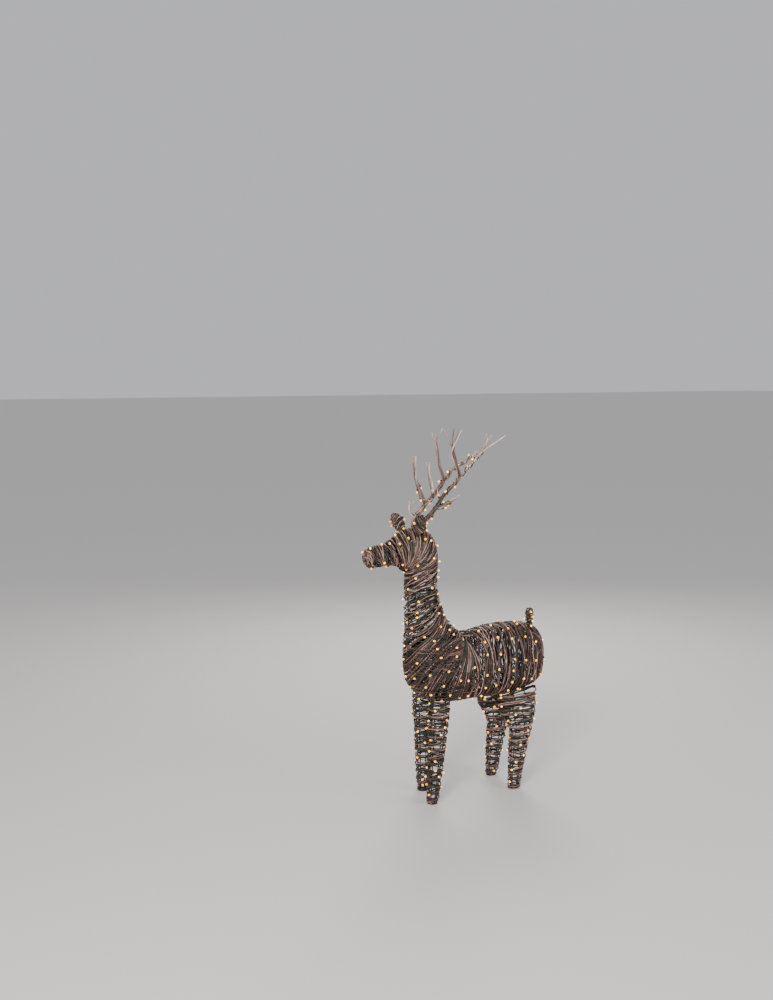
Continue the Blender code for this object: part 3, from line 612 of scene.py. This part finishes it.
head = {
    "throat": (-0.207, 0.819),
    "near": 0.0115,
    "reach": 0.1315,
    # the head turns forward round the throat: lean, extra reach, extra half width
    "rows": (
        (90, 0.0000, 0.000),
        (70, 0.0095, 0.003),
        (50, 0.0265, 0.006),
        (30, 0.0375, 0.006),
        (12, 0.0235, 0.002),
        (-6, 0.0075, -0.004),
    ),
    "muzzleLength": 0.134,
    "muzzleDrop": 8.0,
    # share of the muzzle, half depth, half width
    "muzzle": (
        (0.22, 0.0460, 0.040),
        (0.48, 0.0385, 0.036),
        (0.75, 0.0370, 0.033),
        (0.90, 0.0325, 0.029),
        (0.98, 0.0215, 0.020),
        (1.00, 0.0120, 0.012),
        (1.01, 0.0020, 0.002),
    ),
}

torsoRows = []
easeLength, easeEnd = trunk["easeOver"]
for ahead, above, below, beside in trunk["rows"]:
    low = trunk["belly"] + below
    high = trunk["back"] - above
    y = trunk["rump"] - ahead
    wide = trunk["halfWidth"] - beside
    fullness = 2 + (trunk["fullness"] - 2) * min((easeEnd - ahead) / easeLength, 1)
    torsoRows.append(section(y, (low + high) / 2, 0, (high - low) / 2, wide, fullness=fullness))
for lean, beyond, beside in trunk["chest"]:
    far = -(trunk["reach"] + beyond)
    torsoRows.append(fanSection(trunk["withers"], lean, -trunk["gap"], far, trunk["halfWidth"] - beside))
neckRows = []
for share, deeper, wider, behind in neck["rows"]:
    y = neck["middle"] + behind
    height = trunk["withers"][1] + neck["length"] * share
    neckRows.append(section(y, height, 90, neck["halfDepth"] + deeper, neck["halfWidth"] + wider))
headRows = []
for lean, beyond, wider in head["rows"]:
    far = head["reach"] + beyond
    headRows.append(fanSection(head["throat"], lean, head["near"], far, neck["halfWidth"] + wider))
drop = math.radians(head["muzzleDrop"])
forehead = headRows[-1][1:3]
for share, deep, wide in head["muzzle"]:
    ahead = head["muzzleLength"] * share
    y = forehead[0] - math.cos(drop) * ahead
    height = forehead[1] - math.sin(drop) * ahead
    headRows.append(section(y, height, -head["muzzleDrop"], deep, wide))

spine = measured({"rows": np.array(torsoRows + neckRows + headRows, float)})
torsoEnd = lengthAt(spine, len(torsoRows) - 1)
neckEnd = lengthAt(spine, len(torsoRows) + len(neckRows))
noseEnd = spine["lengths"][-1]
# row of the spine, how far ahead a turn is there at its highest, and as far behind on the other side
tilts = (
    (0, 0),
    (8, 0),
    (11, 0.060),
    (14, 0.120),
    (16, 0.050),
    (17.5, 0.018),
    (19, 0.036),
    (22, 0.022),
    (25, 0.012),
    (30, 0),
)
spine["tilt"] = [lengthAt(spine, row) for row, tilt in tilts], [tilt for row, tilt in tilts]
spine["highest"] = 0.5  # angle from the back towards the left side
overlap = 0.030  # of the windings where one piece of the body meets the next
print("spine length", round(torsoEnd, 3), round(neckEnd, 3), round(noseEnd, 3))

# last column, the tone: painted shade, darkest for the deepest layer and lightest for the outermost
torsoWinding = (
    (0.0260, 3, 1, -0.0085, 0.0075, 11, 0.12),
    (0.0235, 3, 1, -0.0046, 0.0100, 13, 0.38),
    (0.0220, 3, 1, -0.0014, 0.0105, 13, 0.62),
    (0.0400, 2, -1, -0.0026, 0.0120, 10, 0.55),
)
neckWinding = (
    (0.0300, 3, -1, -0.0080, 0.0050, 6, 0.12),
    (0.0260, 3, 1, -0.0044, 0.0090, 9, 0.42),
    (0.0260, 3, -1, -0.0014, 0.0095, 9, 0.62),
)
headWinding = (
    (0.0160, 3, -1, -0.0076, 0.0045, 7, 0.12),
    (0.0165, 3, 1, -0.0042, 0.0080, 10, 0.42),
    (0.0165, 3, -1, -0.0018, 0.0095, 11, 0.66),
    (0.0400, 2, 1, -0.0010, 0.0090, 7, 0.60),
)

# level strands round the front, over the shoulders and where the fanned strands part on the breast: heights
# of the band's two edges, rows of the spine at which a strand at each edge starts, how far those rows vary
levelBands = (
    {"heights": (0.362, 0.440), "starts": (9.2, 9.2), "vary": 0.8, "strands": 9},
    {"heights": (0.470, 0.565), "starts": (10.3, 11.7), "vary": 0.5, "strands": 16},
)
levelLay = {
    "reach": 0.004,  # of a strand's height from an even spacing
    "lift": 0.0004,
    "rough": 0.0008,
    "tuck": 0.010,
    "tuckSpan": 0.075,  # share of the strand that goes under at each end
    "sway": 0.07,  # angle
    "tone": 0.45,
    # painted highlight and shade along each strand
    "paintedLightDrift": 0.40,
    "frontCosine": -0.995,  # beyond this it is at the middle of the front
    "steps": 400,
    "everyStep": 9,
}


# How far a strand is tucked under: 1 at either end, falling evenly to 0 a span away from it.
def tucked(share, span):
    return 1 - np.minimum(1, np.minimum(share, 1 - share) / span)


# A level strand round the chest: at each place along the spine the angle is the one at which the section
# stands at the strand's height, first down the left side to the front, then back along the right side.
def levelStrand(height, start):
    place = np.linspace(start, len(torsoRows) - 1.01, levelLay["steps"])
    rows = between(spine["rows"], place)
    cosine = (height - rows[:, 2]) / (rows[:, 10] * rows[:, 8])
    atFront = np.append(cosine <= levelLay["frontCosine"], True)
    down = slice(0, int(np.argmax(atFront)))
    rimCosine = np.sign(cosine[down]) * np.abs(cosine[down]) ** (rows[down, 11] / 2)
    angle = np.arccos(np.clip(rimCosine, -1, 1))
    angle = np.concatenate([angle, -angle[::-1]])[:: levelLay["everyStep"]]
    place = np.concatenate([place[down], place[down][::-1]])[:: levelLay["everyStep"]]
    ticks = np.linspace(0, 2, len(place))
    lift = levelLay["lift"] - levelLay["tuck"] * tucked(ticks / 2, levelLay["tuckSpan"])
    lift = lift + wander(ticks, levelLay["rough"], 9)
    points, normals = skinPoints(spine, place, angle + wander(ticks, levelLay["sway"], 7), lift)
    tone = np.clip(levelLay["tone"] + wander(ticks, levelLay["paintedLightDrift"], 3), 0, 1)
    return bodyBits(points, normals, tone)


# where the rump and the muzzle are closed: the rows from the middle of the end out to its rim
rumpEnd = {"rows": np.arange(0, 5.1, 0.25), "strands": 34, "offset": 0.92}
muzzleEnd = {"rows": len(spine["rows"]) - 1 - np.arange(0, 4.1, 0.25), "strands": 16, "offset": 0.90}
endLay = {
    "step": 0.008,
    "sway": 0.05,  # share of the end's radius
    "lift": -0.0006,
    "tuck": 0.006,
    "tuckSpan": 0.15,
    "tone": 0.5,
    "toneSpread": 0.4,
    # painted highlight and shade along each strand
    "paintedLightDrift": 0.3,
}


# A strand straight across a closed end: on a disc it is the chord at that offset from the middle, turned by
# the angle, and each of its points goes to the row that stands as far out and to its own angle round the row.
def endStrand(course, end, offset, turn):
    reach = between(course["rows"], end["rows"])[:, 9]
    half = math.sqrt(1 - offset**2)
    along = np.linspace(-half, half, 5 + int(2 * half * reach[-1] / endLay["step"]))
    across = offset + wander(along, endLay["sway"], 4)
    order = np.argsort(reach)
    place = np.interp(np.hypot(along, across) * reach.max(), reach[order], end["rows"][order])
    angle = np.arctan2(across, along) + turn
    ticks = (along + half) / (2 * half)
    lift = endLay["lift"] - endLay["tuck"] * tucked(ticks, endLay["tuckSpan"])
    lift = lift + wander(ticks, winding["rough"], 6)
    points, normals = skinPoints(course, place, angle, lift)
    tone = endLay["tone"] + rng.uniform(-endLay["toneSpread"], endLay["toneSpread"])
    tone = np.clip(tone + wander(ticks, endLay["paintedLightDrift"], 3), 0, 1)
    return bodyBits(points, normals, tone)


def closedEnd(course, end):
    offsets = rng.uniform(-1, 1, end["strands"]) * end["offset"]
    return [endStrand(course, end, offset, rng.uniform(0, math.tau)) for offset in offsets]


withersBinding = {
    "strands": 14,
    "reach": 0.55,  # angle to either side of the back
    "neckRow": (14.5, 15.2),
    "trunkRow": (7.8, 8.9),
    "sway": 0.25,  # angle
    "tuck": 0.007,
    "sink": 0.004,  # over the withers
    "tone": 0.5,
    # painted highlight and shade along each strand
    "paintedLightDrift": 0.45,
    "steps": 30,
}


# A strand laid from the back of the neck over the withers to the trunk: start * (1 - t)^2
# + withers * 2t(1 - t) + end * t^2, with both ends tucked under.
def withersStrand(angle):
    neckRow = rng.uniform(*withersBinding["neckRow"])
    trunkRow = rng.uniform(*withersBinding["trunkRow"])
    turns = angle + rng.uniform(-withersBinding["sway"], withersBinding["sway"], 3)
    lifts = -np.array((withersBinding["tuck"], withersBinding["sink"], withersBinding["tuck"]))
    guides, normals = skinPoints(spine, np.array((neckRow, len(torsoRows) - 1, trunkRow)), turns, lifts)
    t = np.linspace(0, 1, withersBinding["steps"])[:, None]
    shares = np.concatenate([(1 - t) ** 2, 2 * t * (1 - t), t**2], axis=1)
    tone = np.clip(withersBinding["tone"] + wander(t[:, 0], withersBinding["paintedLightDrift"], 5), 0, 1)
    return bodyBits(shares @ guides, unit(shares @ normals), tone)


inset = 0.002  # of the first and last turn from the ends of the spine
torsoShapes = woundStrands(spine, inset, torsoEnd + overlap / 2, torsoWinding, 42)
for angle in np.linspace(-1, 1, withersBinding["strands"]) * withersBinding["reach"]:
    torsoShapes.append(withersStrand(angle))
for band in levelBands:
    count = band["strands"]
    heights = np.linspace(*band["heights"], count) + rng.uniform(-1, 1, count) * levelLay["reach"]
    starts = np.linspace(*band["starts"], count) + rng.uniform(-1, 1, count) * band["vary"]
    torsoShapes += [levelStrand(height, start) for height, start in zip(heights, starts)]
torsoShapes += closedEnd(spine, rumpEnd)
addPiece("torso_strands", torsoShapes, bodyStrand, "torso", ("torso_wicker",))
neckShapes = woundStrands(spine, torsoEnd - overlap, neckEnd + overlap, neckWinding, 32)
addPiece("neck_strands", neckShapes, bodyStrand, "torso", ("neck_wicker",))
headShapes = woundStrands(spine, neckEnd - overlap, noseEnd - inset, headWinding, 30)
headShapes += closedEnd(spine, muzzleEnd)
addPiece("head_strands", headShapes, bodyStrand, "torso", ("head_wicker",))
print("trunk, neck and head wound")

ears = {
    "root": (0.043, -0.178, 0.959),
    "left": {"way": (0.74, -0.03, 0.67), "face": (0.20, -0.93, -0.20), "length": 0.090},
    "right": {"way": (-0.80, -0.13, 0.56), "face": (0.50, -0.85, -0.10), "length": 0.078},
    # share of the length, half width, half thickness
    "rows": (
        (0.00, 0.013, 0.0085),
        (0.25, 0.023, 0.0095),
        (0.50, 0.027, 0.0095),
        (0.75, 0.022, 0.0085),
        (0.93, 0.013, 0.0075),
        (1.00, 0.007, 0.0060),
        (1.02, 0.002, 0.0020),
    ),
    # last column, the tone: painted shade, darker for the deeper layer
    "winding": (
        (0.0110, 2, 1, -0.0030, 0.0025, 4, 0.50),
        (0.0120, 2, -1, -0.0014, 0.0035, 4, 0.72),
    ),
}


def earCourse(side, name):
    mirror = np.array((side, 1.0, 1.0))
    root = np.array(ears["root"]) * mirror
    way = unit(np.array(ears[name]["way"]))
    face = np.array(ears[name]["face"])
    face = unit(face - way * face.dot(way))
    across = np.cross(face, way)
    rows = []
    for share, wide, deep in ears["rows"]:
        rows.append((*(root + way * ears[name]["length"] * share), *across, *face, wide, deep, 2.0))
    return measured({"rows": np.array(rows, float)})


leftEar = earCourse(1.0, "left")
rightEar = earCourse(-1.0, "right")
for name, course in (("left", leftEar), ("right", rightEar)):
    shapes = woundStrands(course, 0.0, course["lengths"][-1], ears["winding"], 22)
    addPiece(f"{name}_ear_strands", shapes, bodyStrand, "torso", (f"{name}_ear_wicker",))

tail = {
    "y": 0.313,
    "root": 0.578,
    "length": 0.066,
    "rows": ((0.00, 0.0125), (0.30, 0.0145), (0.75, 0.0155), (0.94, 0.0120), (0.99, 0.0070), (1.00, 0.0015)),
    # last column, the tone: painted shade, darker for the deeper layer
    "winding": (
        (0.0090, 2, 1, -0.0030, 0.0015, 4, 0.35),
        (0.0110, 2, -1, -0.0014, 0.0030, 4, 0.55),
    ),
}
tailRows = [section(tail["y"], tail["root"] + tail["length"] * share, 90, r, r) for share, r in tail["rows"]]
tailCourse = measured({"rows": np.array(tailRows, float)})
tailShapes = woundStrands(tailCourse, 0.0, tailCourse["lengths"][-1], tail["winding"], 20)
addPiece("tail_strands", tailShapes, bodyStrand, "torso", ("tail_wicker",))
print("ears and tail wound")

torsoLights = [
    lightPath(spine, 0.03, torsoEnd, 15, 0.014),
    lightPath(tailCourse, 0.012, tailCourse["lengths"][-1] - 0.008, 3, 0.002, 16),
]
addLights("torso_lights", torsoLights, (122, 5), "torso", "torso_light_wire")
addLights("neck_lights", [lightPath(spine, torsoEnd, neckEnd, 10, 0.010)], (44,), "torso", "neck_light_wire")
headLights = [
    lightPath(spine, neckEnd, noseEnd - 0.01, 12, 0.010),
    lightPath(leftEar, 0.01, leftEar["lengths"][-1] - 0.01, 3, 0.003, 20),
    lightPath(rightEar, 0.01, rightEar["lengths"][-1] - 0.01, 3, 0.003, 20),
]
addLights("head_lights", headLights, (37, 4, 4), "torso", "head_light_wire")
print("lights of the body strung")

legs = {
    "hipX": 0.060,
    "footRadius": 0.0225,
    "bellyHeight": trunk["belly"],
    "clearance": 0.007,
    "rise": 0.026,
    # share of the height, extra half depth, extra half width, how far back the middle bows
    "front": (
        (0.006, 0.0000, 0.0000, 0.000),
        (0.250, 0.0035, 0.0035, 0.000),
        (0.500, 0.0080, 0.0080, 0.001),
        (0.750, 0.0120, 0.0120, 0.001),
        (0.900, 0.0155, 0.0155, 0.000),
        (0.965, 0.0165, 0.0160, 0.000),
    ),
    "hind": (
        (0.006, 0.0005, 0.0000, 0.000),
        (0.250, 0.0080, 0.0065, 0.006),
        (0.500, 0.0165, 0.0115, 0.014),
        (0.625, 0.0220, 0.0135, 0.020),
        (0.760, 0.0395, 0.0175, 0.012),
        (0.860, 0.0535, 0.0190, 0.002),
        (0.965, 0.0570, 0.0195, 0.000),
    ),
    "forward": {"hind_right": 0.013},  # of the middle, in full above this share of the height
    "forwardFrom": 0.625,
    "lights": {"inset": 0.010, "below": 0.012, "turns": 11, "reach": 0.008, "lamps": 30},
    # last column, the tone: painted shade, darker for the deeper layers
    "winding": (
        (0.0250, 3, 1, -0.0040, 0.0045, 4, 0.38),
        (0.0260, 3, -1, -0.0014, 0.0050, 4, 0.60),
        (0.0600, 2, 1, -0.0028, 0.0080, 4, 0.45),
    ),
}


# Height of the trunk's underside: on each section it is the lower rim at that distance from the middle,
# and between sections it follows a straight line.
def trunkUnderside(points):
    rows = np.array(torsoRows[3:13], float)[:, None]
    share = np.minimum(np.abs(points[None, :, 0]) / rows[..., 9], 0.9)
    down = -((1 - share ** rows[..., 11]) ** (1 / rows[..., 11])) * rows[..., 10]
    places = rows[..., 1] + down * rows[..., 7]
    heights = rows[..., 2] + down * rows[..., 8]
    found = heights[0].copy()
    for near, far, low, high in zip(places[:-1], places[1:], heights[:-1], heights[1:]):
        share = (near - points[:, 1]) / np.maximum(near - far, 1e-6)
        found = np.where((share >= 0) & (share <= 1), low + (high - low) * share, found)
    return found


def legCourse(kind, name, foot, hip):
    forward = legs["forward"].get(name, 0.0)
    rows = []
    for share, deeper, wider, bow in legs[kind]:
        x = foot[0] + (hip[0] - foot[0]) * share
        y = foot[1] + (hip[1] - foot[1]) * share + bow - forward * min(1.0, share / legs["forwardFrom"])
        height = legs["bellyHeight"] * share
        rows.append(section(y, height, 90, legs["footRadius"] + deeper, legs["footRadius"] + wider, x))
    last = len(rows) - 1
    lastHeight = rows[-1][2]

    # over the last section the rim climbs to just under the trunk, and no higher than the rise beside it
    def fitUnderTrunk(points, place):
        climb = np.clip(place - (last - 1), 0, 1)
        limit = legs["bellyHeight"] + legs["rise"]
        roof = np.minimum(trunkUnderside(points) - legs["clearance"], limit)
        lifted = points.copy()
        lifted[:, 2] += climb * (np.maximum(roof, lastHeight) - lastHeight)
        return lifted

    return measured({"rows": np.array(rows, float), "reshape": fitUnderTrunk})


for name in ("front_left", "front_right", "hind_left", "hind_right"):
    kind = name.split("_")[0]
    footLow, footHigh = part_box(f"{name}_leg_foot_ring")
    foot = (footLow + footHigh) / 2
    bracketLow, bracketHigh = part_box(f"{kind}_leg_bracket")
    hip = (math.copysign(legs["hipX"], foot.x), (bracketLow.y + bracketHigh.y) / 2)
    course = legCourse(kind, name, foot, hip)
    body = f"{name}_leg"
    top = course["lengths"][-1]
    shapes = woundStrands(course, 0.0, top, legs["winding"], 24)
    addPiece(f"{body}_strands", shapes, bodyStrand, body, (f"{body}_wicker",))
    strung = legs["lights"]
    path = lightPath(course, strung["inset"], top - strung["below"], strung["turns"], strung["reach"], 24)
    addLights(f"{body}_lights", [path], (strung["lamps"],), body, f"{body}_light_wire")
print("legs wound and lit")

antlers = {
    "mouth": (0.030, -0.150, 0.964),
    "pull": (0.195, 0.390, 0.900),
    "stem": (0.003, 0.033),  # straight out of the mouth, along the pull
    "beamRadius": 0.0085,
    "taper": 0.55,
    "strandRadius": 0.0027,
    "tineSpread": 0.0037,  # of a strand from the middle of its tine
    "tipSpread": 0.0006,
    "twist": 16.0,  # angle a metre
    "sway": 0.0007,
    "lightsBeside": 0.0058,  # of a tine's light string from its middle
    "lamps": 12,
    "binding": ((0.014, 1, 1, -0.0010, 0.006, 2, 0.50),),
    # points are measured from the antler's mouth: outwards, back and up
    "left": {
        # tines with lamps on them, and how many
        "lit": ((((0.0185, 0.054, 0.068), (0.0250, 0.096, 0.091)), 3),),
        "beam": (
            (0.0165, 0.047, 0.072),
            (0.0230, 0.070, 0.109),
            (0.0300, 0.096, 0.137),
            (0.0385, 0.126, 0.173),
            (0.0520, 0.163, 0.214),
            (0.0660, 0.206, 0.260),
        ),
        # each branch: its points, then where its loose strands end
        "branches": (
            (
                ((0.0185, 0.054, 0.068), (0.0250, 0.096, 0.091)),
                ((0.0300, 0.134, 0.112), (0.0310, 0.130, 0.114)),
            ),
            (
                ((0.0400, 0.129, 0.174), (0.0440, 0.111, 0.222), (0.0480, 0.096, 0.262)),
                (
                    (0.0440, 0.064, 0.334),
                    (0.0540, 0.099, 0.338),
                    (0.0620, 0.122, 0.331),
                    (0.0560, 0.112, 0.334),
                ),
            ),
            (
                ((0.0520, 0.163, 0.214), (0.0640, 0.204, 0.262)),
                (
                    (0.0600, 0.222, 0.317),
                    (0.0740, 0.233, 0.314),
                    (0.0880, 0.278, 0.312),
                    (0.0640, 0.224, 0.306),
                ),
            ),
        ),
    },
    "right": {
        "lit": ((((0.0200, 0.053, 0.080), (0.0300, 0.043, 0.125), (0.0330, 0.038, 0.145)), 4),),
        "beam": (
            (0.0180, 0.056, 0.072),
            (0.0260, 0.093, 0.099),
            (0.0360, 0.140, 0.146),
            (0.0460, 0.189, 0.189),
            (0.0540, 0.240, 0.212),
            (0.0650, 0.300, 0.243),
        ),
        "branches": (
            (
                ((0.0060, 0.004, 0.028), (0.0190, -0.002, 0.056)),
                ((0.0240, 0.020, 0.088), (0.0290, 0.004, 0.088)),
            ),
            (
                ((0.0200, 0.053, 0.080), (0.0300, 0.043, 0.125), (0.0360, 0.033, 0.164)),
                ((0.0400, 0.035, 0.239), (0.0460, 0.026, 0.240), (0.0420, 0.029, 0.236)),
            ),
            (
                ((0.0280, 0.102, 0.103), (0.0370, 0.093, 0.141), (0.0430, 0.087, 0.179)),
                ((0.0460, 0.093, 0.217), (0.0520, 0.082, 0.218)),
            ),
            (
                ((0.0360, 0.140, 0.146), (0.0440, 0.131, 0.207), (0.0500, 0.123, 0.266)),
                ((0.0540, 0.107, 0.316), (0.0400, 0.111, 0.308), (0.0600, 0.152, 0.328)),
            ),
            (
                ((0.0540, 0.240, 0.212),),
                ((0.0650, 0.300, 0.243), (0.0600, 0.296, 0.248), (0.0690, 0.292, 0.246)),
            ),
        ),
    },
}


def smoothLine(line, steps=9):
    places = np.linspace(0, len(line) - 1, steps * (len(line) - 1) + 1)
    return between(np.array(line, float), places), places


# Each strand of an antler runs up the beam and out along one branch. Its path is a smooth line through
# their points, moved off it by bundle radius * (first * cos + second * sin), which twists as it climbs.
def bundledStrand(line, radii, phase, tone):
    middle, places = smoothLine(line)
    radius = np.interp(places, np.arange(len(line)), radii)
    tangents = unit(np.gradient(middle, axis=0))
    first = unit(np.cross(tangents, (1.0, 0.0, 0.0)))
    second = np.cross(tangents, first)
    length = runLength(middle)
    turn = phase + antlers["twist"] * length
    outward = first * np.cos(turn)[:, None] + second * np.sin(turn)[:, None]
    spread = radius + wander(length * 12, antlers["sway"], 1.5)
    points = middle + outward * spread[:, None]
    paler = np.clip(tone + 0.5 * (length / length[-1]) ** 2, 0, 1)
    thick = antlers["strandRadius"] * np.interp(length / length[-1], (0, 0.85, 1), (1, 1, 0.8))
    return strandBits(points, outward, thick, thick * 0.9, paler)


# The light string runs up one side of a tine and down the other, and its ends go in among the beam's strands.
def tineLights(mouth, mirror, branch):
    tine = [mouth + np.array(point) * mirror for point in branch]
    line = between(np.array(tine, float), np.linspace(0, len(tine) - 1, 24))
    tangents = unit(np.gradient(line, axis=0))
    outward = unit(np.cross(tangents, (1.0, 0.0, 0.0)))
    beside = outward * antlers["lightsBeside"] * np.minimum(1, np.linspace(0, 4, len(line)))[:, None]
    points = np.concatenate([line + beside, line[::-1] - beside[::-1]])
    normals = np.concatenate([outward, -outward[::-1]])
    return points, normals, np.ones(len(points))


for side, name in ((1.0, "left"), (-1.0, "right")):
    mirror = np.array((side, 1.0, 1.0))
    mouth = np.array(antlers["mouth"]) * mirror
    way = unit(np.array(antlers["pull"])) * mirror
    beam = [mouth + way * above for above in antlers["stem"]]
    beam += [mouth + np.array(point) * mirror for point in antlers[name]["beam"]]
    beamRadii = antlers["beamRadius"] * np.linspace(1, antlers["taper"], len(beam)) - antlers["strandRadius"]
    shapes = []
    for number, (branch, ends) in enumerate(antlers[name]["branches"]):
        branchPoints = [mouth + np.array(point) * mirror for point in branch]
        nearest = int(np.argmin([np.linalg.norm(point - branchPoints[0]) for point in beam]))
        for count, end in enumerate(ends):
            line = beam[:nearest + 1] + branchPoints[1:] + [mouth + np.array(end) * mirror]
            thin = [antlers["tineSpread"]] * (len(branchPoints) - 1) + [antlers["tipSpread"]]
            radii = list(beamRadii[:nearest + 1]) + thin
            if len(line) < 3:
                line.insert(0, beam[0])
                radii.insert(0, beamRadii[0])
            phase = math.tau * (number * 0.23 + count / len(ends)) + rng.uniform(-0.3, 0.3)
            shapes.append(bundledStrand(line, radii, phase, rng.uniform(0.1, 0.8)))
    tubeRows = []
    for place, tangent in enumerate(unit(np.gradient(np.array(beam), axis=0))):
        first = unit(np.cross(tangent, (1.0, 0.0, 0.0)))
        second = np.cross(tangent, first)
        radius = antlers["beamRadius"] * (1 - (1 - antlers["taper"]) * place / (len(beam) - 1))
        tubeRows.append((*beam[place], *second, *(-first), radius, radius, 2.0))
    tube = measured({"rows": np.array(tubeRows, float)})
    shapes += woundStrands(tube, 0.0, tube["lengths"][-1], antlers["binding"], 14)
    body = f"{name}_antler"
    addPiece(f"{body}_strands", shapes, antlerStrand, body, (f"{body}_wicker",))
    lights = [lightPath(tube, 0.02, tube["lengths"][-1] * 0.93, 7, 0.008, 20, 0.0010)]
    lights += [tineLights(mouth, mirror, branch) for branch, count in antlers[name]["lit"]]
    counts = [count for branch, count in antlers[name]["lit"]]
    counts = [antlers["lamps"] - sum(counts)] + counts
    addLights(f"{body}_lights", lights, counts, body, f"{body}_light_wire")
print("antlers bundled and lit, lamps in all:", sum(lampCounts))

# Metal and moulded parts stay as the frame has them, with a finish of their own.
for nodeName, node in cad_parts.items():
    moulded = nodeName.endswith(("_foot_ring", "_gland"))
    if moulded or nodeName.endswith(("_rod", "_ring", "_frame", "_bracket")):
        for slot in node.material_slots:
            slot.material = footMoulding if moulded else powderCoat

floorPaint, tree, shader = newMaterial("matt pale floor paint")
shader.inputs["Base Color"].default_value = srgb("#DAD7D3")
shader.inputs["Roughness"].default_value = 0.85
floorMesh = bpy.data.meshes.new("floor")
reach = 60
corners = [(-reach, -reach, 0), (reach, -reach, 0), (reach, reach, 0), (-reach, reach, 0)]
floorMesh.from_pydata(corners, [], [(0, 1, 2, 3)])
floorMesh.materials.append(floorPaint)
floor = bpy.data.objects.new("floor", floorMesh)
bpy.context.scene.collection.objects.link(floor)
floor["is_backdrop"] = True

world = bpy.data.worlds.new("studio")
world.use_nodes = True
world.node_tree.nodes["Background"].inputs["Color"].default_value = srgb("#E4E4E8")
world.node_tree.nodes["Background"].inputs["Strength"].default_value = 0.75
bpy.context.scene.world = world


def softBox(name, place, target, size, power, code):
    light = bpy.data.lights.new(name, "AREA")
    light.shape = "DISK"
    light.size = size
    light.energy = power
    light.color = srgb(code)[:3]
    box = bpy.data.objects.new(name, light)
    box.location = place
    box.rotation_euler = (Vector(target) - Vector(place)).to_track_quat("-Z", "Y").to_euler()
    bpy.context.scene.collection.objects.link(box)


softBox("key", (2.6, -2.6, 2.6), (0, 0, 0.6), 1.4, 130, "#FFFFFF")
softBox("fill", (3.0, 2.2, 1.6), (0, 0, 0.6), 2.0, 40, "#F4F6FF")
softBox("rim", (-2.4, 1.4, 2.4), (0, 0, 0.7), 1.4, 60, "#FFFFFF")

camera = bpy.data.cameras.new("camera")
camera.sensor_fit = "VERTICAL"
camera.sensor_height = 36
camera.lens = 41.148
camera.shift_x = -0.0655
camera.shift_y = 0.114
cameraObject = bpy.data.objects.new("camera", camera)
cameraObject.location = (3.386, -1.967, 1.49)
aim = Vector((0, -0.012, 0.655)) - cameraObject.location
cameraObject.rotation_euler = aim.to_track_quat("-Z", "Y").to_euler()
bpy.context.scene.collection.objects.link(cameraObject)
bpy.context.scene.camera = cameraObject
print("floor, lights and camera set")

low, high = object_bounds()
